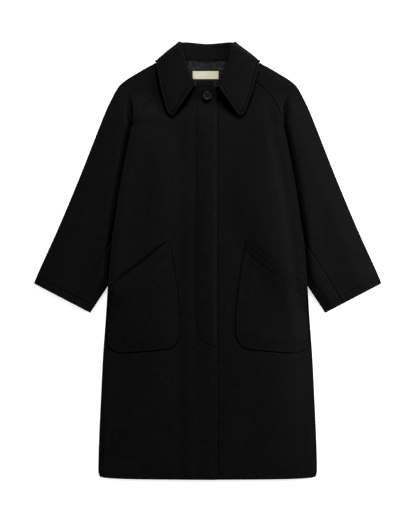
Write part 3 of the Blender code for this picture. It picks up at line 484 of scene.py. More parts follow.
def plan(edges):
    """Plan points (across, height) of an edge's rows."""
    return np.array([(edge.half_width, edge.height) for edge in edges])


def between(a, b, c, d, t):
    """A value on a soft curve through four values, from b at t = 0 to c at t = 1."""
    return b + 0.5 * t * (c - a + t * (2 * a - 5 * b + 4 * c - d + t * (3 * (b - c) + d - a)))


def soft_curve(points, steps=20):
    """Dense points on a soft curve through the given points."""
    points = np.asarray(points, float)
    padded = np.vstack([2 * points[0] - points[1], points, 2 * points[-1] - points[-2]])
    shares = np.linspace(0.0, 1.0, steps, endpoint=False)[:, None]
    parts = [between(*padded[k:k + 4], shares) for k in range(len(points) - 1)]
    return np.vstack(parts + [points[-1:]])


def along(chain, shares):
    """Points at these shares of a chain's length."""
    steps = np.linalg.norm(np.diff(chain, axis=0), axis=1)
    lengths = np.concatenate(([0.0], np.cumsum(steps)))
    target = np.asarray(shares) * lengths[-1]
    return np.stack([np.interp(target, lengths, column) for column in chain.T], axis=-1)


def chain_length(chain):
    """Length of a chain of points."""
    return float(np.linalg.norm(np.diff(chain, axis=0), axis=1).sum())


def spaced(length, step, fine=()):
    """Shares of a length: step apart, and closer together inside the fine zones."""
    at = [0.0]
    while at[-1] < length:
        paces = [zone.step for zone in fine if zone.start <= at[-1] < zone.end]
        at.append(at[-1] + min(paces + [step]))
    if at[-1] - length > length - at[-2]:
        at.pop()
    at[-1] = length
    return np.array(at) / length


def fill(bottom, top, inner, outer, across):
    """Plan points (rows, columns, 2) inside four edges.

    bottom and top are chains from the inner to the outer edge, inner and outer hold a point for each row, and
    across gives the shares of the columns, alike for all rows or row by row.
    """
    steps = np.linalg.norm(np.diff(inner, axis=0), axis=1) + np.linalg.norm(np.diff(outer, axis=0), axis=1)
    rise = np.concatenate(([0.0], np.cumsum(steps))) / steps.sum()
    v = rise[:, None, None]
    shares = np.broadcast_to(across, (len(inner), np.shape(across)[-1]))
    u = shares[:, :, None]
    corners = (1 - u) * ((1 - v) * bottom[0] + v * top[0]) + u * ((1 - v) * bottom[-1] + v * top[-1])
    sides = (1 - u) * inner[:, None, :] + u * outer[:, None, :]
    return (1 - v) * along(bottom, shares) + v * along(top, shares) + sides - corners


def distance_to(chain, x, height):
    """Distance from plan points to a chain of plan points."""
    points = np.stack([x, height], axis=-1).reshape(-1, 2)
    best = np.full(len(points), np.inf)
    for start, end in zip(chain, chain[1:]):
        span = end - start
        share = np.clip((points - start) @ span / (span @ span), 0.0, 1.0)
        gap = points - start - share[:, None] * span
        best = np.minimum(best, np.hypot(gap[:, 0], gap[:, 1]))
    return best.reshape(np.shape(x))


# Heights of the layers above the floor


def fall_lift(x, height):
    """How far the back of the collar, folded under the neck, lifts what lies on it."""
    x = np.abs(x)
    lower = height_at(COLLAR_BACK_EDGE, x)
    up = smooth((height - lower + MARGIN + FALL_SLOPE) / FALL_SLOPE)
    out = smooth((COLLAR_REACH + MARGIN + FALL_SLOPE - x) / FALL_SLOPE)
    return (COLLAR_CLOTH + 2 * LAYER) * up * out


def back_middle(x, height):
    """Middle of the back's wall."""
    return fall_lift(x, height) + CLOTH / 2


def below_shoulder(height):
    """1 up to the end of the raglan seam, fading out above it."""
    return smooth((RAGLAN_END + MARGIN + TUCK_SLOPE - height) / TUCK_SLOPE)


def tuck_end(height):
    """1 along the tuck, fading past its lower and upper ends."""
    return smooth((height - TUCK_LOW + MARGIN + TUCK_SLOPE) / TUCK_SLOPE) * below_shoulder(height)


def tuck_depth(height):
    """Half width of the innermost edge of the tucked sleeve at a height."""
    low = width_at(SLEEVE_INNER, height)
    return np.where(height <= ARMPIT[0].height, low, width_at(ARMPIT, height))


def sleeve_low(x, height):
    """Middle of the sleeve's lower wall."""
    beyond = np.abs(x) - width_at(BODY_SIDE, height)
    climb = smooth((SLEEVE_SLOPE + MARGIN - beyond) / SLEEVE_SLOPE)
    return fall_lift(x, height) + (CLOTH + LAYER) * climb * below_shoulder(height) + CLOTH / 2


def from_tuck(x, height):
    """How far out a point lies from the line where the sleeve sinks in, beside the body and the shoulder."""
    return np.abs(x) - np.maximum(width_at(BODY_SIDE, height), width_at(GROOVE, height))


def sleeve_crown(side, x, height):
    """How far the sleeve's upper wall rises away from the body and from its own inner fold."""
    from_fold = np.abs(x) - width_at(SLEEVE_INNER, height)
    high = smooth((height - RAGLAN_END) / CROWN_BLEND + 0.5)
    width = CROWN_RISE + (CROWN_RISE_HIGH[side] - CROWN_RISE) * high
    rise = smooth(from_tuck(x, height) / width) * smooth(from_fold / (2 * CROWN_RISE))
    return SLEEVE_CROWN * rise * smooth((GROOVE_TOP - height) / CROWN_FADE[side])


def sleeve_high(side, x, height, from_edge):
    """Middle of the sleeve's upper wall, from_edge away from its outer edge.

    Between the raglan seam and the groove it runs on at the front's own level.
    """
    beside = bump(np.maximum(from_tuck(x, height), 0.0), TUCK_DIP_WIDTH)
    dip = TUCK_DIP * smooth((GROOVE_TOP - height) / GROOVE_LENGTH) * beside
    crown = sleeve_crown(side, x, height) * smooth(from_edge / (3 * CROWN_RISE))
    level = sleeve_low(x, height) + CLOTH + LAYER + (LOFT - dip) * smooth(from_edge / EDGE_ROLL) + crown
    above = height - RAGLAN_END
    widening = GROOVE_START + (1.0 - GROOVE_START) * smooth(above / GROOVE_WIDEN)
    ridge = smooth((width_at(GROOVE_EDGE, height) - x) / (GROOVE_WIDTH[side] * widening) + 1.0)
    ridge = ridge * smooth(above / RIDGE_START) * smooth((GROOVE_TOP - height) / RIDGE_FADE)
    return level + ridge * (front_middle(side, x, height) - level)


def turned(at, x, height):
    """Distances along and across a fold or crease, from its middle."""
    dx = x - at.across
    dh = height - at.height
    run = dh * math.cos(at.lean) + dx * math.sin(at.lean)
    reach = dx * math.cos(at.lean) - dh * math.sin(at.lean)
    return run, reach


def front_fold(side, x, height):
    """Height of the soft folds in a front."""
    total = np.zeros(np.shape(x))
    for fold in FRONT_FOLDS:
        if fold.side == side:
            run, reach = turned(fold, x, height)
            width = np.where(reach < 0.0, fold.inner, fold.outer)
            total = total + fold.depth * bump(reach, width) * bump(run, fold.length / 2)
    return total * smooth((FOLD_TOP - height) / FOLD_FADE)


def fly_path():
    """The fly's stitch line on the right front, from the neck down and round to the free edge."""
    top = (FLY_STITCH, FRONT_NECK[0].height - STITCH_END)
    return np.vstack([[top], soft_curve(plan(FLY_CURVE))])


def fly_lift(x, height):
    """How far the fly's layers lift the right front; x is measured outwards on that side."""
    path = np.where(height > FLY_BEND, FLY_STITCH, width_at(FLY_CURVE[::-1], height))
    within = np.where((x < path) & (height > FLY_LOW), 1.0, -1.0)
    inside = smooth(within * distance_to(fly_path(), x, height) / FLY_SOFT + FLY_SOFT_OUTSIDE)
    from_free = x + FRONT_OVERLAP[-1]
    rim = FLY_RIM * (1.0 - smooth((from_free - FLY_EDGE_ROLL) / FLY_RIM_WIDTH))
    layers = (FLY_LIFT * inside + rim) * smooth(from_free / FLY_EDGE_ROLL)
    on_fly = smooth((height - FLY_LOW + FLY_STEP / 2) / FLY_STEP)
    ridge = FLY_RIDGE_LOW + (FLY_RIDGE - FLY_RIDGE_LOW) * on_fly
    from_crest = x - FLY_RIDGE_SHIFT
    ridge = ridge * bump(from_crest, np.where(from_crest > 0.0, FLY_RIDGE_REACH, FLY_RIDGE_WIDTH))
    return (layers + ridge) * smooth((FLY_TOP - height) / FLY_FADE)


def side_lip(side, from_side, height):
    """How far a front's side edge stands off the sleeve that runs under it."""
    along_sleeve = smooth((height - TUCK_LOW + LIP_FADE) / LIP_FADE) * smooth((LIP_TOP - height) / LIP_FADE)
    lower = 1.0 - LIP_DIP * bump(height - RAGLAN_END, LIP_DIP_LENGTH)
    return SIDE_LIP[side] * along_sleeve * lower * (1.0 - smooth(from_side / LIP_WIDTH[side]))


def front_middle(side, x, height):
    """Middle of a front's wall.  x is measured outwards from the centre line."""
    from_side = width_at(BODY_SIDE, height) - x
    on_body = smooth((RAGLAN_END + TUCK_SLOPE - height) / TUCK_SLOPE)
    loft = LOFT * (1.0 - on_body * (1.0 - smooth(from_side / EDGE_ROLL)))
    climb = smooth((x - tuck_depth(height) + MARGIN + TUCK_SLOPE) / TUCK_SLOPE)
    tuck = (2 * (CLOTH + LAYER) + LOFT) * climb * tuck_end(height)
    rise = back_middle(x, height) + CLOTH + LAYER + loft + tuck
    rise = rise + front_fold(side, x, height) * smooth(from_side / FOLD_EDGE[side])
    rise = rise + side_lip(side, from_side, height)
    if side < 0:
        step = smooth((FRONT_OVERLAP[+1] + MARGIN + OVERLAP_SLOPE - x) / OVERLAP_SLOPE)
        other = front_fold(+1, -x, height) - front_fold(-1, x, height)
        rise = rise + (CLOTH + LAYER) * step + np.maximum(other, 0.0) * step + fly_lift(x, height)
    return rise


def lining_crease(x, height):
    """Height of the wrinkles in the neck lining."""
    total = np.zeros(np.shape(x))
    for crease in LINING_CREASES:
        run, reach = turned(crease, x, height)
        total = total + crease.depth * bump(reach, crease.width) * bump(run, crease.length / 2)
    return total


def lining_middle(x, height):
    """Middle of the neck lining's wall."""
    return back_middle(x, height) + CLOTH / 2 + LAYER + LINING_CLOTH / 2 + lining_crease(x, height)


# Making pieces


def normals(middle):
    """Unit normals of a grid of points."""
    found = np.cross(np.gradient(middle, axis=1), np.gradient(middle, axis=0))
    return found / np.linalg.norm(found, axis=2, keepdims=True)


def to_place(points):
    """Frame coordinates of (x, height, z) points."""
    placed = np.array(points, float)
    placed[..., 1] -= LENGTH / 2
    return placed


def wall(middle, thickness, relief=0.0, facing=+1, left_out=None):
    """A bmesh wall of cloth about a grid of (x, height, z) points.

    facing +1 puts the outer face, which takes the relief, on the side of the grid's normals.  left_out marks
    the grid's cells that have no cloth.
    """
    rows, columns = middle.shape[:2]
    out = facing * normals(middle)
    relief = np.broadcast_to(relief, (rows, columns))[:, :, None]
    outer = to_place(middle + out * (thickness / 2 + relief)).reshape(-1, 3)
    inner = to_place(middle - out * (thickness / 2)).reshape(-1, 3)
    bm = bmesh.new()
    bmesh.ops.create_grid(bm, x_segments=columns - 1, y_segments=rows - 1, size=1.0)
    place = bm.verts.layers.int.new("place")
    for index, vert in enumerate(bm.verts):
        vert[place] = index
    if left_out is not None:
        bm.faces.ensure_lookup_table()
        gone = [bm.faces[k] for k in np.flatnonzero(left_out.reshape(-1))]
        bmesh.ops.delete(bm, geom=gone, context="FACES")
    made = bmesh.ops.extrude_face_region(bm, geom=bm.faces[:], use_keep_orig=True)
    for vert in bm.verts:
        vert.co = inner[vert[place]]
    for item in made["geom"]:
        if isinstance(item, bmesh.types.BMVert):
            item.co = outer[item[place]]
    bmesh.ops.recalc_face_normals(bm, faces=bm.faces)
    rim = [edge for edge in bm.edges if edge.calc_face_angle(0.0) > SHARP_TURN]
    bmesh.ops.bevel(
        bm, geom=rim, offset=EDGE_ROUNDING * thickness, offset_type="OFFSET", affect="EDGES",
        segments=3, profile=0.5, material=-1, clamp_overlap=True,
    )
    bm.verts.layers.int.remove(bm.verts.layers.int["place"])
    return bm


def cut_of(middle, left_out=None):
    """Width, length and area of the flat cloth that a grid of points was cut from."""
    across = np.linalg.norm(np.diff(middle, axis=1), axis=2)[:-1]
    up = np.linalg.norm(np.diff(middle, axis=0), axis=2)[:, :-1]
    diagonal = middle[1:, 1:] - middle[:-1, :-1]
    other = middle[1:, :-1] - middle[:-1, 1:]
    areas = np.linalg.norm(np.cross(diagonal, other), axis=2) / 2
    kept = np.ones(areas.shape) if left_out is None else 1.0 - left_out
    return (across * kept).sum(axis=1).max(), (up * kept).sum(axis=0).max(), (areas * kept).sum()


def add_piece(name, bm, finish, replaced=None):
    """Links a finished piece, at the origin, and lets it ride on the coat."""
    mesh = bpy.data.meshes.new(name)
    bm.to_mesh(mesh)
    bm.free()
    mesh.shade_smooth()
    mesh.materials.append(finish)
    piece = bpy.data.objects.new(name, mesh)
    bpy.context.scene.collection.objects.link(piece)
    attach(piece, "root")
    if replaced:
        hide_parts(replaced)
    return piece


def add_cloth(name, middle, thickness, finish, slot, replaced, rests_on, left_out=None, **shape):
    """A wall of cloth as a piece.  The size of its cut is worked out but not used."""
    bm = wall(middle, thickness, left_out=left_out, **shape)
    piece = add_piece(name, bm, finish, replaced)
    width, length, area = cut_of(middle, left_out)
    area = float(min(area, width * length))
    return piece


def stitch_row(bm, path, ups, pitch, width):
    """Stitches along a path of points in the frame, each a short thread that dips at its ends."""
    path = np.asarray(path, float)
    count = max(int(chain_length(path) / pitch), 1)
    ends = along(path, np.linspace(0.0, 1.0, count + 1))
    middles = along(path, (np.arange(count) + 0.5) / count)
    up_chain = along(np.hstack([path, ups]), (np.arange(count) + 0.5) / count)[:, 3:]
    for start, end, middle, up in zip(ends, ends[1:], middles, up_chain):
        run = Vector(end - start)
        if run.length < pitch / 2:
            continue
        forward = run.normalized()
        side = Vector(up).cross(forward).normalized()
        turn = Matrix((forward, side, forward.cross(side))).transposed().to_4x4()
        size = Matrix.Diagonal((STITCH_HALF * run.length, width / 2, width / 2, 1.0))
        matrix = Matrix.Translation(Vector(middle)) @ turn @ size
        bmesh.ops.create_uvsphere(bm, u_segments=6, v_segments=5, radius=1.0, matrix=matrix)


def add_flat_stitches(bm, points, thickness, sizes, sunk=STITCH_SUNK):
    """Stitches on a panel that lies flat, along (x, height, z) points in the middle of its wall."""
    rise = thickness / 2 - sunk * sizes.stitch_depth
    path = to_place(points + np.array([0.0, 0.0, rise]))
    ups = np.broadcast_to((0.0, 0.0, 1.0), path.shape)
    stitch_row(bm, path, ups, sizes.stitch_pitch, sizes.stitch_width)


# Materials


def add_node(tree, kind, inputs=None, **settings):
    """Adds a node.  inputs are constants, or other nodes' outputs that are joined to it."""
    node = tree.nodes.new(kind)
    for name, value in settings.items():
        setattr(node, name, value)
    for name, value in (inputs or {}).items():
        if isinstance(value, bpy.types.NodeSocket):
            tree.links.new(value, node.inputs[name])
        else:
            node.inputs[name].default_value = value
    return node


def new_material(name):
    """An empty material, its tree and the coordinates of the piece that wears it."""
    made = bpy.data.materials.new(name)
    made.use_nodes = True
    made.node_tree.nodes.clear()
    return made, made.node_tree, add_node(made.node_tree, "ShaderNodeTexCoord").outputs["Object"]


def finish_material(tree, pattern, dark, light, relief, surface):
    """Joins a pattern, from a dark to a light colour, and a fine relief to a Principled shader.

    relief is a pattern and its depth in metres; surface holds the shader's constants.
    """
    colour = add_node(
        tree, "ShaderNodeMix", {0: pattern, 6: (*dark, 1.0), 7: (*light, 1.0)}, data_type="RGBA"
    )
    height, depth = relief
    dents = add_node(tree, "ShaderNodeBump", {"Distance": depth, "Height": height})
    inputs = {"Base Color": colour.outputs[2], "Normal": dents.outputs["Normal"], **surface}
    shader = add_node(tree, "ShaderNodeBsdfPrincipled", inputs)
    add_node(tree, "ShaderNodeOutputMaterial", {"Surface": shader.outputs["BSDF"]})


def scaled(colour, share):
    """A share of a colour's light."""
    return tuple(share * channel for channel in colour)


def wool_melton():
    """Black wool melton, fulled and shorn.

    Its fibres lie felted in all directions, so the cloth is matt, softly cloudy, and faintly grey where light
    grazes the nap.  Real fibre clumps are under a millimetre; they are drawn coarser, so that they show from
    a step away.
    """
    found = bpy.data.materials.get("wool_melton")
    if found:
        return found
    sizes = bpy.context.scene.coat_sizes
    colours = bpy.context.scene.coat_colours
    made, tree, place = new_material("wool_melton")
    clumps = add_node(
        tree, "ShaderNodeTexNoise",
        {"Vector": place, "Scale": 1.0 / sizes.nap, "Detail": 4.0, "Roughness": 0.6},
    )
    clouds = add_node(
        tree, "ShaderNodeTexNoise", {"Vector": place, "Scale": 1.0 / sizes.cloud, "Detail": 3.0}
    )
    pattern = add_node(
        tree, "ShaderNodeMix", {"Factor": 0.15, "A": clumps.outputs["Fac"], "B": clouds.outputs["Fac"]}
    )
    spread = add_node(
        tree, "ShaderNodeMapRange", {"Value": pattern.outputs["Result"], "From Min": 0.3, "From Max": 0.7}
    )
    fibre = 0.0012
    fibres = add_node(
        tree, "ShaderNodeTexNoise", {"Vector": place, "Scale": 1.0 / fibre, "Detail": 3.0, "Roughness": 0.6}
    )
    surface = {"Roughness": 0.95, "Specular IOR Level": 0.03, "Sheen Weight": 0.008, "Sheen Roughness": 0.4}
    relief = (fibres.outputs["Fac"], 0.0002)
    finish_material(tree, spread.outputs["Result"], colours.wool, colours.wool_light, relief, surface)
    return made


def satin_lining():
    """Black polyester satin, woven with long floats.

    The floats all run one way, so the cloth is smooth with a soft streak of light on each wrinkle.  The float
    lines are drawn 1.2 mm apart, coarser than real ones, so that they show.
    """
    colours = bpy.context.scene.coat_colours
    made, tree, place = new_material("satin_lining")
    float_pitch = 0.0012
    floats = add_node(
        tree, "ShaderNodeTexWave", {"Vector": place, "Scale": WAVE / float_pitch, "Distortion": 1.0},
        bands_direction="DIAGONAL",
    )
    patch = 0.012
    patches = add_node(tree, "ShaderNodeTexNoise", {"Vector": place, "Scale": 1.0 / patch, "Detail": 3.0})
    surface = {"Roughness": 0.4, "Specular IOR Level": 0.2}
    relief = (floats.outputs["Fac"], 0.00003)
    dark = scaled(colours.satin, 0.5)
    finish_material(tree, patches.outputs["Fac"], dark, colours.satin, relief, surface)
    return made


def woven_label(name, colour, shine, roughness):
    """Woven label cloth, polyester taffeta: close even ribs, flat and a little silky.

    The ribs are drawn 1.1 mm apart, coarser than real ones, so that they show.
    """
    made, tree, place = new_material(name)
    rib_pitch = 0.0011
    ribs = add_node(
        tree, "ShaderNodeTexWave", {"Vector": place, "Scale": WAVE / rib_pitch, "Distortion": 0.4},
        bands_direction="Y",
    )
    surface = {"Roughness": roughness, "Specular IOR Level": shine}
    relief = (ribs.outputs["Fac"], 0.00003)
    finish_material(tree, ribs.outputs["Fac"], scaled(colour, 0.86), colour, relief, surface)
    return made


def polished_horn():
    """Dark buffalo horn, turned and polished: streaky grey-brown layers under a gloss."""
    colours = bpy.context.scene.coat_colours
    made, tree, place = new_material("polished_horn")
    streak = 0.005
    streaks = add_node(
        tree, "ShaderNodeTexWave",
        {"Vector": place, "Scale": WAVE / streak, "Distortion": 6.0, "Detail": 3.0, "Detail Scale": 1.5},
        bands_direction="DIAGONAL",
    )
    scratch = 0.002
    scratches = add_node(tree, "ShaderNodeTexNoise", {"Vector": place, "Scale": 1.0 / scratch, "Detail": 2.0})
    surface = {"Roughness": 0.5, "IOR": 1.54, "Specular IOR Level": 0.14}
    relief = (scratches.outputs["Fac"], 0.00002)
    finish_material(tree, streaks.outputs["Fac"], colours.horn, colours.horn_light, relief, surface)
    return made


def sewing_thread():
    """Spun polyester thread, two plies twisted: dull, with a slanting twist of 0.8 mm."""
    found = bpy.data.materials.get("sewing_thread")
    if found:
        return found
    colours = bpy.context.scene.coat_colours
    made, tree, place = new_material("sewing_thread")
    twist_pitch = 0.0008
    twist = add_node(
        tree, "ShaderNodeTexWave", {"Vector": place, "Scale": WAVE / twist_pitch}, bands_direction="DIAGONAL"
    )
    surface = {"Roughness": 0.7, "Specular IOR Level": 0.05}
    relief = (twist.outputs["Fac"], 0.00005)
    dark = scaled(colours.thread, 0.6)
    finish_material(tree, twist.outputs["Fac"], dark, colours.thread, relief, surface)
    return made


def opal_light_panel():
    """Sanded opal acrylic, softly lit from behind: even white that hardly takes a shadow."""
    colours = bpy.context.scene.coat_colours
    made, tree, place = new_material("opal_light_panel")
    patch = 0.03
    mottle = add_node(tree, "ShaderNodeTexNoise", {"Vector": place, "Scale": 1.0 / patch, "Detail": 2.0})
    surface = {
        "Roughness": 0.9, "Specular IOR Level": 0.1,
        "Emission Color": (1.0, 1.0, 1.0, 1.0), "Emission Strength": PANEL_GLOW,
    }
    relief = (mottle.outputs["Fac"], 0.0001)
    dark = scaled(colours.floor, 0.985)
    finish_material(tree, mottle.outputs["Fac"], dark, colours.floor, relief, surface)
    return made


# Pieces


class COAT_OT_back(bpy.types.Operator):
    """Makes the back panel, which lies flat under the rest"""

    bl_idname = "coat.back"
    bl_label = "Back"

    def execute(self, context):
        step = HIDDEN_MESH * context.scene.coat_sizes.mesh_step
        side = soft_curve(plan(BODY_SIDE))
        raglan = soft_curve(plan(BACK_RAGLAN))
        low = RAGLAN_END - ROW_DIP
        side_shares = spaced(chain_length(side), step)[:-1]
        raglan_shares = spaced(chain_length(raglan), step)
        outer = np.vstack([along(side, side_shares), along(raglan, raglan_shares)])
        neck = BACK_NECK[0].height
        up = np.concatenate([side_shares * low, low + raglan_shares * (neck - low)])
        centre = np.stack([np.zeros(len(up)), up], axis=-1)
        across = spaced(BODY_HALF, step)
        half = fill(soft_curve(plan(HEM)), soft_curve(plan(BACK_NECK)), centre, outer, across)
        other = half[:, :0:-1] * np.array([-1.0, 1.0])
        rows = np.concatenate([other, half], axis=1)
        x, height = rows[..., 0], rows[..., 1]
        middle = np.dstack([x, height, back_middle(x, height)])
        add_cloth("back_panel", middle, CLOTH, wool_melton(), "black_wool", "back", [], facing=-1)
        return {"FINISHED"}


def front_plan(side, sizes):
    """Plan rows of a front, from its free edge out to the side and the raglan seam."""
    free = -FRONT_OVERLAP[side]
    low = RAGLAN_END - ROW_DIP
    top = FRONT_NECK[0].height
    corner = top - FRONT_CORNER
    body = soft_curve(plan(BODY_SIDE))
    raglan = soft_curve(plan(FRONT_RAGLAN[side]))
    fine = [Zone(POCKET_LOW - STITCH_FINE, POCKET_MOUTH[0].height + STITCH_FINE, sizes.pocket_step)]
    if side < 0:
        fine.append(Zone(FLY_LOW - STITCH_FINE / 2, FLY_BEND, sizes.fine_step))
    side_shares = spaced(low, sizes.mesh_step, fine)[:-1]
    raglan_shares = spaced(chain_length(raglan), sizes.mesh_step / RAGLAN_FINE)
    outer = np.vstack([along(body, side_shares), along(raglan, raglan_shares)])
    up = np.concatenate([side_shares * low, low + raglan_shares * (corner - low)])
    inner = np.stack([np.full(len(up), free), up], axis=-1)
    bend = CORNER_BEND * FRONT_CORNER
    turn = [(free + bend, top - bend), (free + FRONT_CORNER, top)]
    hem = soft_curve([(free, 0.0), *plan(HEM)])
    neck = soft_curve([(free, corner), *turn, *plan(FRONT_NECK)])
    strip = FLY_STITCH - free + STITCH_FINE
    edge = Zone(0.0, EDGE_STITCH + STITCH_FINE / 2, sizes.fine_step)
    stitch = Zone(strip - 2 * STITCH_FINE, strip, sizes.fine_step)
    near = strip * spaced(strip, FLY_MESH * sizes.mesh_step, [edge, stitch])
    widths = outer[:, 0] - free
    rest = spaced(BODY_HALF - free - strip, sizes.pocket_step)[1:]
    distances = np.hstack([
        np.broadcast_to(near, (len(up), len(near))),
        strip + (widths[:, None] - strip) * rest[None, :],
    ])
    return fill(hem, neck, inner, outer, distances / widths[:, None])


def edge_path():
    """The stitch line along the right front's free edge, below the fly."""
    across = -FRONT_OVERLAP[-1] + EDGE_STITCH
    return np.array([(across, FLY_LOW + STITCH_END / 2), (across, STITCH_END)])


def pocket_outline():
    """Closed chain of plan points round a pocket."""
    edges = (POCKET_BOTTOM, POCKET_OUTER, POCKET_MOUTH, POCKET_INNER)
    bottom, outer, mouth, inner = [soft_curve(plan(edge), COARSE_CURVE) for edge in edges]
    return np.vstack([bottom, outer[1:], mouth[-2::-1], inner[-2::-1]])


def pocket_sink(x, height):
    """How far the cloth under a pocket is pressed in."""
    from_mouth = distance_to(soft_curve(plan(POCKET_MOUTH), COARSE_CURVE), x, height)
    return POCKET_SINK * (1.0 - MOUTH_EASE * bump(from_mouth, MOUTH_EASE_WIDTH))


def in_outline(outline, x, height):
    """Whether plan points lie inside a closed chain of plan points."""
    inside = np.zeros(np.shape(x), bool)
    for start, end in zip(outline, np.roll(outline, -1, axis=0)):
        spans = (start[1] > height) != (end[1] > height)
        rise = end[1] - start[1] if end[1] != start[1] else 1.0
        inside ^= spans & (x < start[0] + (end[0] - start[0]) * (height - start[1]) / rise)
    return inside


def front_relief(side, x, height, sizes):
    """Seams and stitch lines in a front's outer face."""
    seam = distance_to(soft_curve(plan(FRONT_RAGLAN[side]), COARSE_CURVE), x, height)
    relief = -sizes.seam_depth * bump(seam, SEAM_WIDTH)
    outline = pocket_outline()
    within = np.where(in_outline(outline, x, height), 1.0, -1.0)
    pressed = smooth(within * distance_to(outline, x, height) / POCKET_ROLL + POCKET_ROLL_OUTSIDE)
    relief = relief - pocket_sink(x, height) * pressed
    if side < 0:
        from_fly = distance_to(fly_path(), x, height)
        from_edge = distance_to(edge_path(), x, height)
        relief = relief - FLY_PULL * sizes.stitch_depth * bump(from_fly, FLY_GROOVE)
        relief = relief - sizes.stitch_depth * bump(from_edge, STITCH_GROOVE)
        swell = bump(from_edge - EDGE_SWELL_AT, EDGE_SWELL_WIDTH)
        relief = relief + EDGE_SWELL * sizes.stitch_depth * swell
    return relief


class COAT_OT_fronts(bpy.types.Operator):
    """Makes the two fronts, the right one with its hidden button fly"""

    bl_idname = "coat.fronts"
    bl_label = "Fronts"

    def execute(self, context):
        sizes = context.scene.coat_sizes
        for side, word in ((+1, "left"), (-1, "right")):
            rows = front_plan(side, sizes)
            x, height = rows[..., 0], rows[..., 1]
            middle = np.dstack([side * x, height, front_middle(side, x, height)])
            add_cloth(
                f"front_{word}_panel", middle, CLOTH, wool_melton(), "black_wool", f"front_{word}",
                ["back_panel"], relief=front_relief(side, x, height, sizes), facing=side,
            )
        stitches = bmesh.new()
        for path in (fly_path(), edge_path()):
            points = along(path, np.linspace(0.0, 1.0, STITCH_POINTS))
            x, height = points[:, 0], points[:, 1]
            middle = np.stack([-x, height, front_middle(-1, x, height)], axis=-1)
            add_flat_stitches(stitches, middle, CLOTH, sizes)
        add_piece("front_stitches", stitches, sewing_thread())
        return {"FINISHED"}


def sleeve_plan(first, raglan, across, sizes):
    """Plan rows of half a sleeve, from its outer to its inner edge, and the shares of the first edge's rows.

    The inner edge runs up the first chain, then inside the tuck and up the raglan seam.
    """
    cuff = Zone(CUFF_HEM - RIM_FINE, CUFF_HEM + RIM_FINE, sizes.fine_step)
    seam = spaced(chain_length(first), sizes.mesh_step, [cuff])
    hidden = spaced(chain_length(plan(ARMPIT)), TUCK_MESH * sizes.mesh_step)[1:-1]
    top = spaced(chain_length(raglan), sizes.mesh_step / RAGLAN_FINE)
    tuck = soft_curve(np.vstack([plan(ARMPIT[:-1]), raglan[:1]]))
    inner = np.vstack([along(first, seam), along(tuck, hidden), along(raglan, top)])
    low = ARM_SHARE * SEAM_SHARE
    shares = [seam * low, low + hidden * (ARM_SHARE - low), ARM_SHARE + top * (1 - ARM_SHARE)]
    outer = along(soft_curve(plan(SLEEVE_OUTER)), np.concatenate(shares))
    rows = fill(np.array([outer[0], inner[0]]), np.array([outer[-1], inner[-1]]), outer, inner, across)
    return rows, seam


def sleeve_across(sizes, width):
    """Shares of a sleeve's columns, from its outer edge to its inner one."""
    end = Zone(width - SLEEVE_FINE, width, sizes.fine_step)
    return spaced(width, sizes.mesh_step, [end])


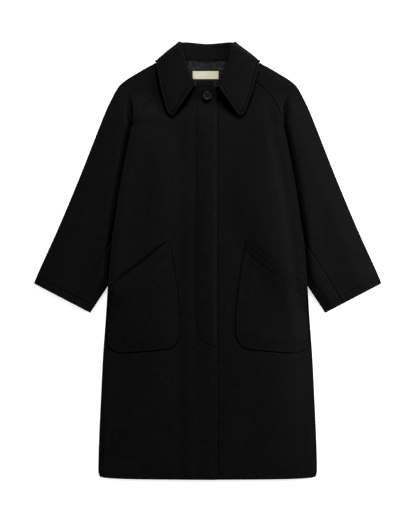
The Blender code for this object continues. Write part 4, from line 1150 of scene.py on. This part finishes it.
class COAT_OT_sleeves(bpy.types.Operator):
    """Makes the front and back halves of the two raglan sleeves"""

    bl_idname = "coat.sleeves"
    bl_label = "Sleeves"

    def execute(self, context):
        sizes = context.scene.coat_sizes
        stitches = bmesh.new()
        for side, word in ((+1, "left"), (-1, "right")):
            self.add_front(side, word, sizes, stitches)
            self.add_back(side, word, sizes, stitches)
        add_piece("cuff_stitches", stitches, sewing_thread())
        return {"FINISHED"}

    def add_front(self, side, word, sizes, stitches):
        """The front half, from the outer edge to the raglan and underarm seams."""
        shift = np.array([SEAM, 0.0])
        raglan = soft_curve(plan(FRONT_RAGLAN[side])) + shift
        under = soft_curve(plan(UNDERARM_SEAM) + shift / 2)
        rows, _ = sleeve_plan(under, raglan, sleeve_across(sizes, SLEEVE_FRONT_WIDTH), sizes)
        x, height = rows[..., 0], rows[..., 1]
        from_edge = np.hypot(x - x[:, :1], height - height[:, :1])
        middle = np.dstack([side * x, height, sleeve_high(side, x, height, from_edge)])
        from_raglan = distance_to(raglan[::4], x, height)
        seams = np.minimum(from_raglan, distance_to(under[::4], x, height))
        relief = -sizes.seam_depth * bump(seams, SEAM_WIDTH)
        relief = relief + SEAM_SWELL * sizes.seam_depth * bump(from_raglan - SEAM_SWELL_AT, SEAM_SWELL_WIDTH)
        from_cuff = distance_to(rows[0], x, height)
        relief = relief - sizes.stitch_depth * bump(from_cuff - CUFF_HEM, STITCH_GROOVE)
        add_cloth(
            f"sleeve_front_{word}_panel", middle, CLOTH, wool_melton(), "black_wool", f"sleeve_front_{word}",
            [f"sleeve_back_{word}"], relief=relief, facing=-side,
        )
        row = int(np.argmin(np.abs(from_cuff[:, -1] - CUFF_HEM)))
        add_flat_stitches(stitches, middle[row], CLOTH, sizes)

    def add_back(self, side, word, sizes, stitches):
        """The back half, which is folded over its inner edge up to the underarm seam."""
        shift = np.array([SEAM, 0.0])
        raglan = soft_curve(plan(BACK_RAGLAN)) + shift
        across = spaced(SLEEVE_BACK_WIDTH, HIDDEN_MESH * sizes.mesh_step)
        rows, seam = sleeve_plan(soft_curve(plan(SLEEVE_INNER)), raglan, across, sizes)
        under = along(soft_curve(plan(UNDERARM_SEAM) - shift / 2), seam)
        radius = (CLOTH + LAYER + LOFT) / 2
        turns = np.linspace(0.0, math.pi, TURN_STEPS + 1)[1:]
        back = sleeve_across(sizes, SLEEVE_STRIP_WIDTH)[1:]
        folded = len(seam)
        grid = []
        for i, plan_row in enumerate(rows):
            row = [(x, h, sleeve_low(x, h)) for x, h in plan_row]
            if i < folded:
                x, h = plan_row[-1]
                reach = math.dist(plan_row[-1], under[i])
                out = (under[i] - plan_row[-1]) / reach
                level = sleeve_low(x, h)
                row[-1] = (x + radius * out[0], h + radius * out[1], level)
                for angle in turns:
                    gap = radius * (1.0 - math.sin(angle))
                    row.append((x + gap * out[0], h + gap * out[1], level + radius * (1.0 - math.cos(angle))))
                for share in radius + (reach - radius) * back:
                    px, ph = x + share * out[0], h + share * out[1]
                    row.append((px, ph, sleeve_low(px, ph) + 2 * radius + sleeve_crown(side, px, ph)))
            else:
                start = len(plan_row)
                row += [tuple(2 * np.array(a) - b) for a, b in zip(grid[-1][start:], grid[-2][start:])]
            grid.append(row)
        middle = np.array(grid, float)
        left_out = np.zeros((len(middle) - 1, middle.shape[1] - 1), bool)
        left_out[folded - 1:, len(across) - 1:] = True
        x, height = middle[..., 0], middle[..., 1]
        upper = np.arange(middle.shape[1]) > len(across) + len(turns)
        relief = -sizes.seam_depth * bump(distance_to(under[::3], x, height), SEAM_WIDTH)
        from_cuff = distance_to(rows[0][[0, -1]], x, height)
        relief = relief - sizes.stitch_depth * bump(from_cuff - CUFF_HEM, STITCH_GROOVE)
        middle[..., 0] *= side
        add_cloth(
            f"sleeve_back_{word}_panel", middle, CLOTH, wool_melton(), "black_wool", f"sleeve_back_{word}",
            [], left_out=left_out, relief=relief * upper, facing=side,
        )
        row = int(np.argmin(np.abs(from_cuff[:folded, -1] - CUFF_HEM)))
        add_flat_stitches(stitches, middle[row, upper], CLOTH, sizes)


def hem_line(middle, distance, target):
    """Points of a grid that lie at a distance from its last row, one in each column."""
    points = []
    for column in range(1, middle.shape[1] - 1):
        run = distance[::-1, column]
        points.append([np.interp(target, run, middle[::-1, column, k]) for k in range(3)])
    return np.array(points)


class COAT_OT_pockets(bpy.types.Operator):
    """Makes the two slanted patch pockets, on the fronts' own surface"""

    bl_idname = "coat.pockets"
    bl_label = "Pockets"

    def execute(self, context):
        sizes = context.scene.coat_sizes
        mouth = soft_curve(plan(POCKET_MOUTH))
        bottom = soft_curve(plan(POCKET_BOTTOM))
        inner = soft_curve(plan(POCKET_INNER))
        outer = soft_curve(plan(POCKET_OUTER))
        length = chain_length(inner)
        hem = Zone(length - POCKET_HEM_FINE[0], length - POCKET_HEM_FINE[1], sizes.fine_step)
        step = POCKET_MESH * sizes.mesh_step
        rim_step = 2 * sizes.fine_step
        up = spaced(length, step, [Zone(0.0, RIM_FINE, rim_step), hem])
        width = chain_length(bottom)
        ends = [Zone(0.0, STITCH_FINE, rim_step), Zone(width - STITCH_FINE, width, rim_step)]
        rows = fill(bottom, mouth, along(inner, up), along(outer, up), spaced(width, step, ends))
        x, height = rows[..., 0], rows[..., 1]
        from_mouth = distance_to(mouth, x, height)
        sewn = np.minimum(distance_to(bottom, x, height), distance_to(inner, x, height))
        sewn = np.minimum(sewn, distance_to(outer, x, height))
        puff = POCKET_PUFF * smooth(sewn / POCKET_PUFF_WIDTH)
        off_front = CLOTH + POCKET_LAYER + puff - pocket_sink(x, height)
        relief = -POCKET_HEM_PULL * sizes.stitch_depth * bump(from_mouth - POCKET_HEM, POCKET_HEM_GROOVE)
        relief = relief + POCKET_HEM_RISE * smooth((POCKET_HEM - from_mouth) / POCKET_HEM_SLOPE)
        stitches = bmesh.new()
        for side, word in ((+1, "left"), (-1, "right")):
            middle = np.dstack([side * x, height, front_middle(side, x, height) + off_front])
            add_cloth(
                f"pocket_{word}_patch", middle, CLOTH, wool_melton(), "black_wool", f"pocket_{word}",
                [f"front_{word}_panel"], relief=relief, facing=side,
            )
            add_flat_stitches(stitches, hem_line(middle, from_mouth, POCKET_HEM), CLOTH, sizes)
        add_piece("pocket_stitches", stitches, sewing_thread())
        return {"FINISHED"}


def collar_station(stations, t, at_middle):
    """A collar section between two stations, on a soft curve.

    at_middle says that the last station lies in the middle of the back, where the collar is mirrored.
    """
    last = len(stations) - 1
    index = min(int(t), last - 1)
    values = []
    for k, name in enumerate(Station._fields):
        b, c = stations[index][k], stations[index + 1][k]
        a = stations[index - 1][k] if index > 0 else 2 * b - c
        d = 2 * c - b
        if index + 2 <= last:
            d = stations[index + 2][k]
        elif at_middle:
            d = -b if name.endswith("_x") else b
        values.append(between(a, b, c, d, t - index))
    return Station(*values)


def collar_row(at, leaf_shares, crown):
    """Points of one section of the collar: up the stand, over the roll and down the leaf."""
    neck = np.array((at.neck_x, at.neck_h, at.neck_z))
    edge = np.array((at.edge_x, at.edge_h, at.edge_z))
    peak = np.array((at.roll_x, at.roll_h, at.roll_z))
    flat = np.array((1.0, 1.0, 0.0))
    to_neck = (neck - peak) * flat
    to_edge = (edge - peak) * flat
    inward = to_neck / np.linalg.norm(to_neck) + to_edge / np.linalg.norm(to_edge)
    middle = peak + at.turn * inward / np.linalg.norm(inward)
    apart = np.array((0.0, 0.0, at.spread))
    stand = neck + (middle - apart - neck) * np.linspace(0.0, 1.0, STAND_STEPS, endpoint=False)[:, None]
    angle = np.linspace(0.0, math.pi, ROLL_STEPS, endpoint=False)[:, None]
    roll = middle - apart * np.cos(angle) + (peak - middle) * np.sin(angle)
    leaf = middle + apart + (edge - middle - apart) * leaf_shares[:, None]
    leaf[:, 2] += crown * 4 * leaf_shares * (1 - leaf_shares)
    row = np.vstack([stand, roll, leaf])
    row[:, 2] = np.maximum(row[:, 2], COLLAR_CLOTH / 2)
    return row


def side_fold(above, below, angle):
    """A row of the side fold, on half ellipses that join the row above to the row below."""
    middle = (above + below) / 2
    reach = np.minimum(np.linalg.norm(above - below, axis=1) / 2, FOLD_REACH) * math.sin(angle)
    out = reach[:, None] * np.array((*SIDE_FOLD, 0.0))
    return middle + (above - middle) * math.cos(angle) + out


def collar_side(side, leaf):
    """Rows of one half of the collar, from its front end round to the middle of the back."""
    last = len(COLLAR_FRONT) - 1
    steps = np.concatenate([
        np.linspace(0.0, 1.0, END_STEPS, endpoint=False),
        np.linspace(1.0, last, FRONT_STEPS * (last - 1) + 1),
    ])
    rows = []
    for t in steps:
        at = collar_station(COLLAR_FRONT, t, False)
        shift = ROLL_SHIFT[side] * smooth((t - ROLL_SHIFT_FROM) / (last - ROLL_SHIFT_FROM))
        in_front = smooth((last - t) / FRONT_FADE)
        at = at._replace(
            roll_x=at.roll_x + shift,
            roll_z=at.roll_z + in_front * smooth(t / END_FADE) * ROLL_LIFT[side],
            edge_z=at.edge_z + in_front * LEAF_LIFT[side],
        )
        lean = side * COLLAR_LEAN * smooth(1.0 - t / last)
        rows.append(collar_row(at, leaf, COLLAR_CROWN[side]) + np.array((lean, 0.0, 0.0)))
    last = len(COLLAR_BACK) - 1
    steps = np.linspace(0.0, last, BACK_STEPS * last + 1)
    behind = [collar_row(collar_station(COLLAR_BACK, t, True), leaf, 0.0) for t in steps]
    angles = np.linspace(0.0, math.pi, SIDE_STEPS + 1)[1:-1]
    folded = [side_fold(rows[-1], behind[0], angle) for angle in angles]
    return np.array(rows + folded + behind) * np.array((side, 1.0, 1.0))


def collar_grid(sizes):
    """Rows of the collar from one front end round the neck to the other."""
    edge = Zone(LEAF_LENGTH - LEAF_FINE, LEAF_LENGTH, sizes.fine_step)
    leaf = spaced(LEAF_LENGTH, sizes.mesh_step, [edge])
    return np.concatenate([collar_side(+1, leaf), collar_side(-1, leaf)[-2::-1]])


def soft_least(a, b):
    """The lesser of two distances, rounded where they are alike, so that a line turns a corner softly."""
    tiny = 1e-5
    return (np.maximum(a, tiny) ** -4 + np.maximum(b, tiny) ** -4) ** -0.25


class COAT_OT_collar(bpy.types.Operator):
    """Makes the turned collar with its thick stitched edge"""

    bl_idname = "coat.collar"
    bl_label = "Collar"

    def execute(self, context):
        sizes = context.scene.coat_sizes
        middle = collar_grid(sizes)
        first = STAND_STEPS + ROLL_STEPS
        across = np.linalg.norm(np.diff(middle, axis=1), axis=2)
        up = np.linalg.norm(np.diff(middle, axis=0), axis=2)
        from_edge = np.pad(np.cumsum(across[:, ::-1], axis=1)[:, ::-1], ((0, 0), (0, 1)))
        from_start = np.pad(np.cumsum(up, axis=0), ((1, 0), (0, 0)))
        from_end = np.minimum(from_start, from_start[-1] - from_start)
        inset = soft_least(from_edge, from_end)
        on_leaf = smooth((np.arange(middle.shape[1]) - first + LEAF_BLEND) / LEAF_BLEND)
        ridge = COLLAR_BAND_RISE * np.sin(math.pi * np.clip(inset / COLLAR_BAND, 0.0, 1.0)) ** 2
        groove = sizes.stitch_depth * bump(inset - COLLAR_BAND, COLLAR_GROOVE)
        above_floor = middle[..., 2] - COLLAR_CLOTH / 2
        relief = on_leaf * (np.minimum(ridge, above_floor) - groove)
        add_cloth(
            "turned_collar", middle, COLLAR_CLOTH, wool_melton(), "black_wool", "collar",
            ["front_left_panel", "front_right_panel"], relief=relief,
        )
        stitches = bmesh.new()
        ups = normals(middle)
        surface = middle + ups * (COLLAR_CLOTH / 2 - COLLAR_SUNK * sizes.stitch_depth)
        half = len(middle) // 2
        for order in (slice(0, half), slice(None, half, -1)):
            self.stitch(stitches, surface[order], ups[order], from_edge[order], from_end[order], sizes)
        add_piece("collar_stitches", stitches, sewing_thread())
        return {"FINISHED"}

    def stitch(self, bm, surface, ups, from_edge, from_end, sizes):
        """Stitches down the front edge of one leaf and along its outer edge."""
        first = STAND_STEPS + ROLL_STEPS
        values = np.concatenate([surface, ups], axis=2)
        path = []
        for column in range(first - ROLL_STITCHED, surface.shape[1]):
            if from_edge[0, column] > PAST_BAND * COLLAR_BAND:
                run = from_end[:, column]
                path.append([np.interp(COLLAR_BAND, run, values[:, column, k]) for k in range(6)])
        for row in range(len(surface)):
            if from_end[row, -1] > PAST_BAND * COLLAR_BAND:
                run = from_edge[row, ::-1]
                path.append([np.interp(COLLAR_BAND, run, values[row, ::-1, k]) for k in range(6)])
        path = np.array(path)
        stitch_row(bm, to_place(path[:, :3]), path[:, 3:], sizes.stitch_pitch, sizes.stitch_width)


def rectangle(across, height, width, depth):
    """Plan points of an upright rectangle."""
    x = across + width * (spaced(width, NECK_STEP) - 0.5)
    h = height + depth * (spaced(depth, NECK_STEP) - 0.5)
    return np.meshgrid(x, h)


class COAT_OT_neck(bpy.types.Operator):
    """Makes what shows inside the neck: the satin lining and two blank labels"""

    bl_idname = "coat.neck"
    bl_label = "Neck lining and labels"

    def execute(self, context):
        sizes = context.scene.coat_sizes
        colours = context.scene.coat_colours
        depth = LINING_HIGH - LINING_LOW
        x, height = rectangle(0.0, LINING_LOW + depth / 2, 2 * LINING_HALF, depth)
        middle = np.dstack([x, height, lining_middle(x, height)])
        relief = -LINING_SEAM_DEPTH * bump(x - LINING_SEAM, LINING_SEAM_WIDTH)
        relief = relief + LINING_PLEAT * bump(x - LINING_SEAM - LINING_PLEAT_AT, LINING_PLEAT_WIDTH)
        add_cloth(
            "satin_neck_lining", middle, LINING_CLOTH, satin_lining(), "black_satin", "neck_lining",
            ["back_panel"], relief=relief,
        )
        cream = woven_label("cream_taffeta", colours.label, shine=0.2, roughness=0.75)
        black = woven_label("black_taffeta", colours.tape, shine=0.08, roughness=0.7)
        stitches = bmesh.new()
        for name, node, box, finish, slot in (
            ("blank_neck_label", "neck_label", NECK_LABEL, cream, "cream_label"),
            ("blank_size_label", "size_label", SIZE_LABEL, black, "black_tape"),
        ):
            x, height = rectangle(*box)
            z = lining_middle(x, height) + (LINING_CLOTH + LABEL_CLOTH) / 2 + LAYER
            middle = np.dstack([x, height, z])
            add_cloth(name, middle, LABEL_CLOTH, finish, slot, node, ["satin_neck_lining"])
            for column in (LABEL_STITCH, -1 - LABEL_STITCH):
                add_flat_stitches(stitches, middle[1:-1, column], LABEL_CLOTH, sizes, sunk=0.0)
        add_piece("label_stitches", stitches, sewing_thread())
        return {"FINISHED"}


class COAT_OT_button(bpy.types.Operator):
    """Makes the top button, turned from horn, with four holes and its thread"""

    bl_idname = "coat.button"
    bl_label = "Top button"

    def execute(self, context):
        sizes = context.scene.coat_sizes
        low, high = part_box("top_button")
        centre = Vector(((low.x + high.x) / 2, (low.y + high.y) / 2, low.z))
        radius = (high.x - low.x) / 2
        thick = high.z - low.z
        lip = BUTTON_LIP
        dish = BUTTON_DISH
        inside = radius - BUTTON_RIM
        profile = [
            (0.0, 0.0), (radius - lip, 0.0), (radius - 0.3 * lip, 0.3 * lip), (radius, lip),
            (radius, thick - lip), (radius - 0.3 * lip, thick - 0.3 * lip), (radius - lip, thick),
            (inside + 0.5 * lip, thick), (inside - 0.2 * lip, thick - 0.3 * dish),
            (inside - lip, thick - 0.85 * dish), (inside - 2 * lip, thick - dish), (0.0, thick - dish),
        ]
        bm = bmesh.new()
        points = [bm.verts.new((r, 0.0, z)) for r, z in profile]
        lines = [bm.edges.new(pair) for pair in zip(points, points[1:])]
        bmesh.ops.spin(
            bm, geom=points + lines, axis=(0, 0, 1), cent=(0, 0, 0), angle=2 * math.pi,
            steps=BUTTON_STEPS, use_merge=True,
        )
        bmesh.ops.remove_doubles(bm, verts=bm.verts, dist=BUTTON_WELD)
        bmesh.ops.recalc_face_normals(bm, faces=bm.faces)
        bmesh.ops.translate(bm, verts=bm.verts, vec=centre)
        cutter = bmesh.new()
        for x, y in ((1, 1), (1, -1), (-1, 1), (-1, -1)):
            place = Matrix.Translation(centre + Vector((x * HOLE_AT, y * HOLE_AT, thick / 2)))
            bmesh.ops.create_cone(
                cutter, cap_ends=True, segments=HOLE_STEPS, radius1=HOLE_RADIUS, radius2=HOLE_RADIUS,
                depth=2 * thick, matrix=place,
            )
        drilled = self.cut(bm, cutter)
        button = add_piece("horn_button", drilled, polished_horn(), "top_button")
        button.data.set_sharp_from_angle(angle=BUTTON_SHARP)
        thread = bmesh.new()
        top = centre.z + thick - dish + THREAD_LIFT
        for x in (-HOLE_AT, HOLE_AT):
            ends = np.array([(centre.x + x, centre.y + y, top) for y in (-HOLE_AT, HOLE_AT)])
            ups = np.broadcast_to((0.0, 0.0, 1.0), ends.shape)
            stitch_row(thread, ends, ups, 2 * HOLE_AT, 2 * sizes.stitch_width)
        add_piece("button_thread", thread, sewing_thread())
        return {"FINISHED"}

    def cut(self, bm, cutter):
        """One bmesh cut by another."""
        objects = []
        for name, source in (("button_blank", bm), ("button_drill", cutter)):
            mesh = bpy.data.meshes.new(name)
            source.to_mesh(mesh)
            source.free()
            objects.append(bpy.data.objects.new(name, mesh))
            bpy.context.scene.collection.objects.link(objects[-1])
        blank, drill = objects
        holes = blank.modifiers.new("holes", "BOOLEAN")
        holes.operation = "DIFFERENCE"
        holes.object = drill
        graph = bpy.context.evaluated_depsgraph_get()
        made = bmesh.new()
        made.from_object(blank, graph)
        for item in objects:
            bpy.data.objects.remove(item)
        return made


class COAT_OT_stage(bpy.types.Operator):
    """Makes the pale floor, the soft lights and the camera straight above"""

    bl_idname = "coat.stage"
    bl_label = "Floor, lights and camera"

    def execute(self, context):
        scene = context.scene
        sizes = scene.coat_sizes
        bm = bmesh.new()
        bmesh.ops.create_grid(bm, x_segments=1, y_segments=1, size=sizes.floor / 2)
        bmesh.ops.translate(bm, verts=bm.verts, vec=(0.0, 0.0, -FLOOR_DROP))
        mesh = bpy.data.meshes.new("floor")
        bm.to_mesh(mesh)
        bm.free()
        mesh.materials.append(opal_light_panel())
        floor = bpy.data.objects.new("floor", mesh)
        scene.collection.objects.link(floor)

        world = bpy.data.worlds.new("soft_room")
        world.use_nodes = True
        background = world.node_tree.nodes["Background"]
        background.inputs["Color"].default_value = (1.0, 1.0, 1.0, 1.0)
        background.inputs["Strength"].default_value = ROOM_LIGHT
        scene.world = world
        scene.view_settings.view_transform = "Standard"
        scene.view_settings.use_curve_mapping = True
        scene.view_settings.curve_mapping.black_level = FILM_BLACK
        scene.view_settings.curve_mapping.update()
        for light in LIGHTS:
            self.add_light(light)

        camera = bpy.data.objects.new("camera", bpy.data.cameras.new("camera"))
        scene.collection.objects.link(camera)
        camera.location = (PHOTO_CENTRE[0], PHOTO_CENTRE[1], sizes.camera_height)
        camera.data.sensor_width = SENSOR
        camera.data.lens = SENSOR * sizes.camera_height / (PHOTO_PIXELS[1] * PIXEL)
        scene.camera = camera
        return {"FINISHED"}

    def add_light(self, softbox):
        """A square soft light that looks at the middle of the coat; its turn runs from +Y to +X."""
        light = bpy.data.lights.new(softbox.name, "AREA")
        light.size = softbox.size
        light.energy = softbox.power
        made = bpy.data.objects.new(softbox.name, light)
        bpy.context.scene.collection.objects.link(made)
        flat = math.cos(softbox.rise)
        away = Vector((math.sin(softbox.turn) * flat, math.cos(softbox.turn) * flat, math.sin(softbox.rise)))
        made.location = softbox.reach * away
        made.rotation_euler = away.to_track_quat("Z", "Y").to_euler()


class COAT_PT_panel(bpy.types.Panel):
    """Lists the coat's pieces and their sizes"""

    bl_idname = "COAT_PT_panel"
    bl_label = "Long coat"
    bl_space_type = "VIEW_3D"
    bl_region_type = "UI"
    bl_category = "Coat"

    def draw(self, context):
        for operator in OPERATORS:
            self.layout.operator(operator.bl_idname)
        for group in (context.scene.coat_sizes, context.scene.coat_colours):
            box = self.layout.box()
            for name in group.__annotations__:
                box.prop(group, name)


OPERATORS = (
    COAT_OT_stage,
    COAT_OT_back,
    COAT_OT_sleeves,
    COAT_OT_fronts,
    COAT_OT_pockets,
    COAT_OT_neck,
    COAT_OT_collar,
    COAT_OT_button,
)
CLASSES = (CoatSizes, CoatColours, *OPERATORS, COAT_PT_panel)


def register():
    for item in CLASSES:
        bpy.utils.register_class(item)
    bpy.types.Scene.coat_sizes = PointerProperty(type=CoatSizes)
    bpy.types.Scene.coat_colours = PointerProperty(type=CoatColours)


def unregister():
    del bpy.types.Scene.coat_colours
    del bpy.types.Scene.coat_sizes
    for item in reversed(CLASSES):
        bpy.utils.unregister_class(item)


def main():
    register()
    bpy.ops.coat.stage()
    bpy.ops.coat.back()
    bpy.ops.coat.sleeves()
    bpy.ops.coat.fronts()
    bpy.ops.coat.pockets()
    bpy.ops.coat.neck()
    bpy.ops.coat.collar()
    bpy.ops.coat.button()


if __name__ == "__main__":
    main()
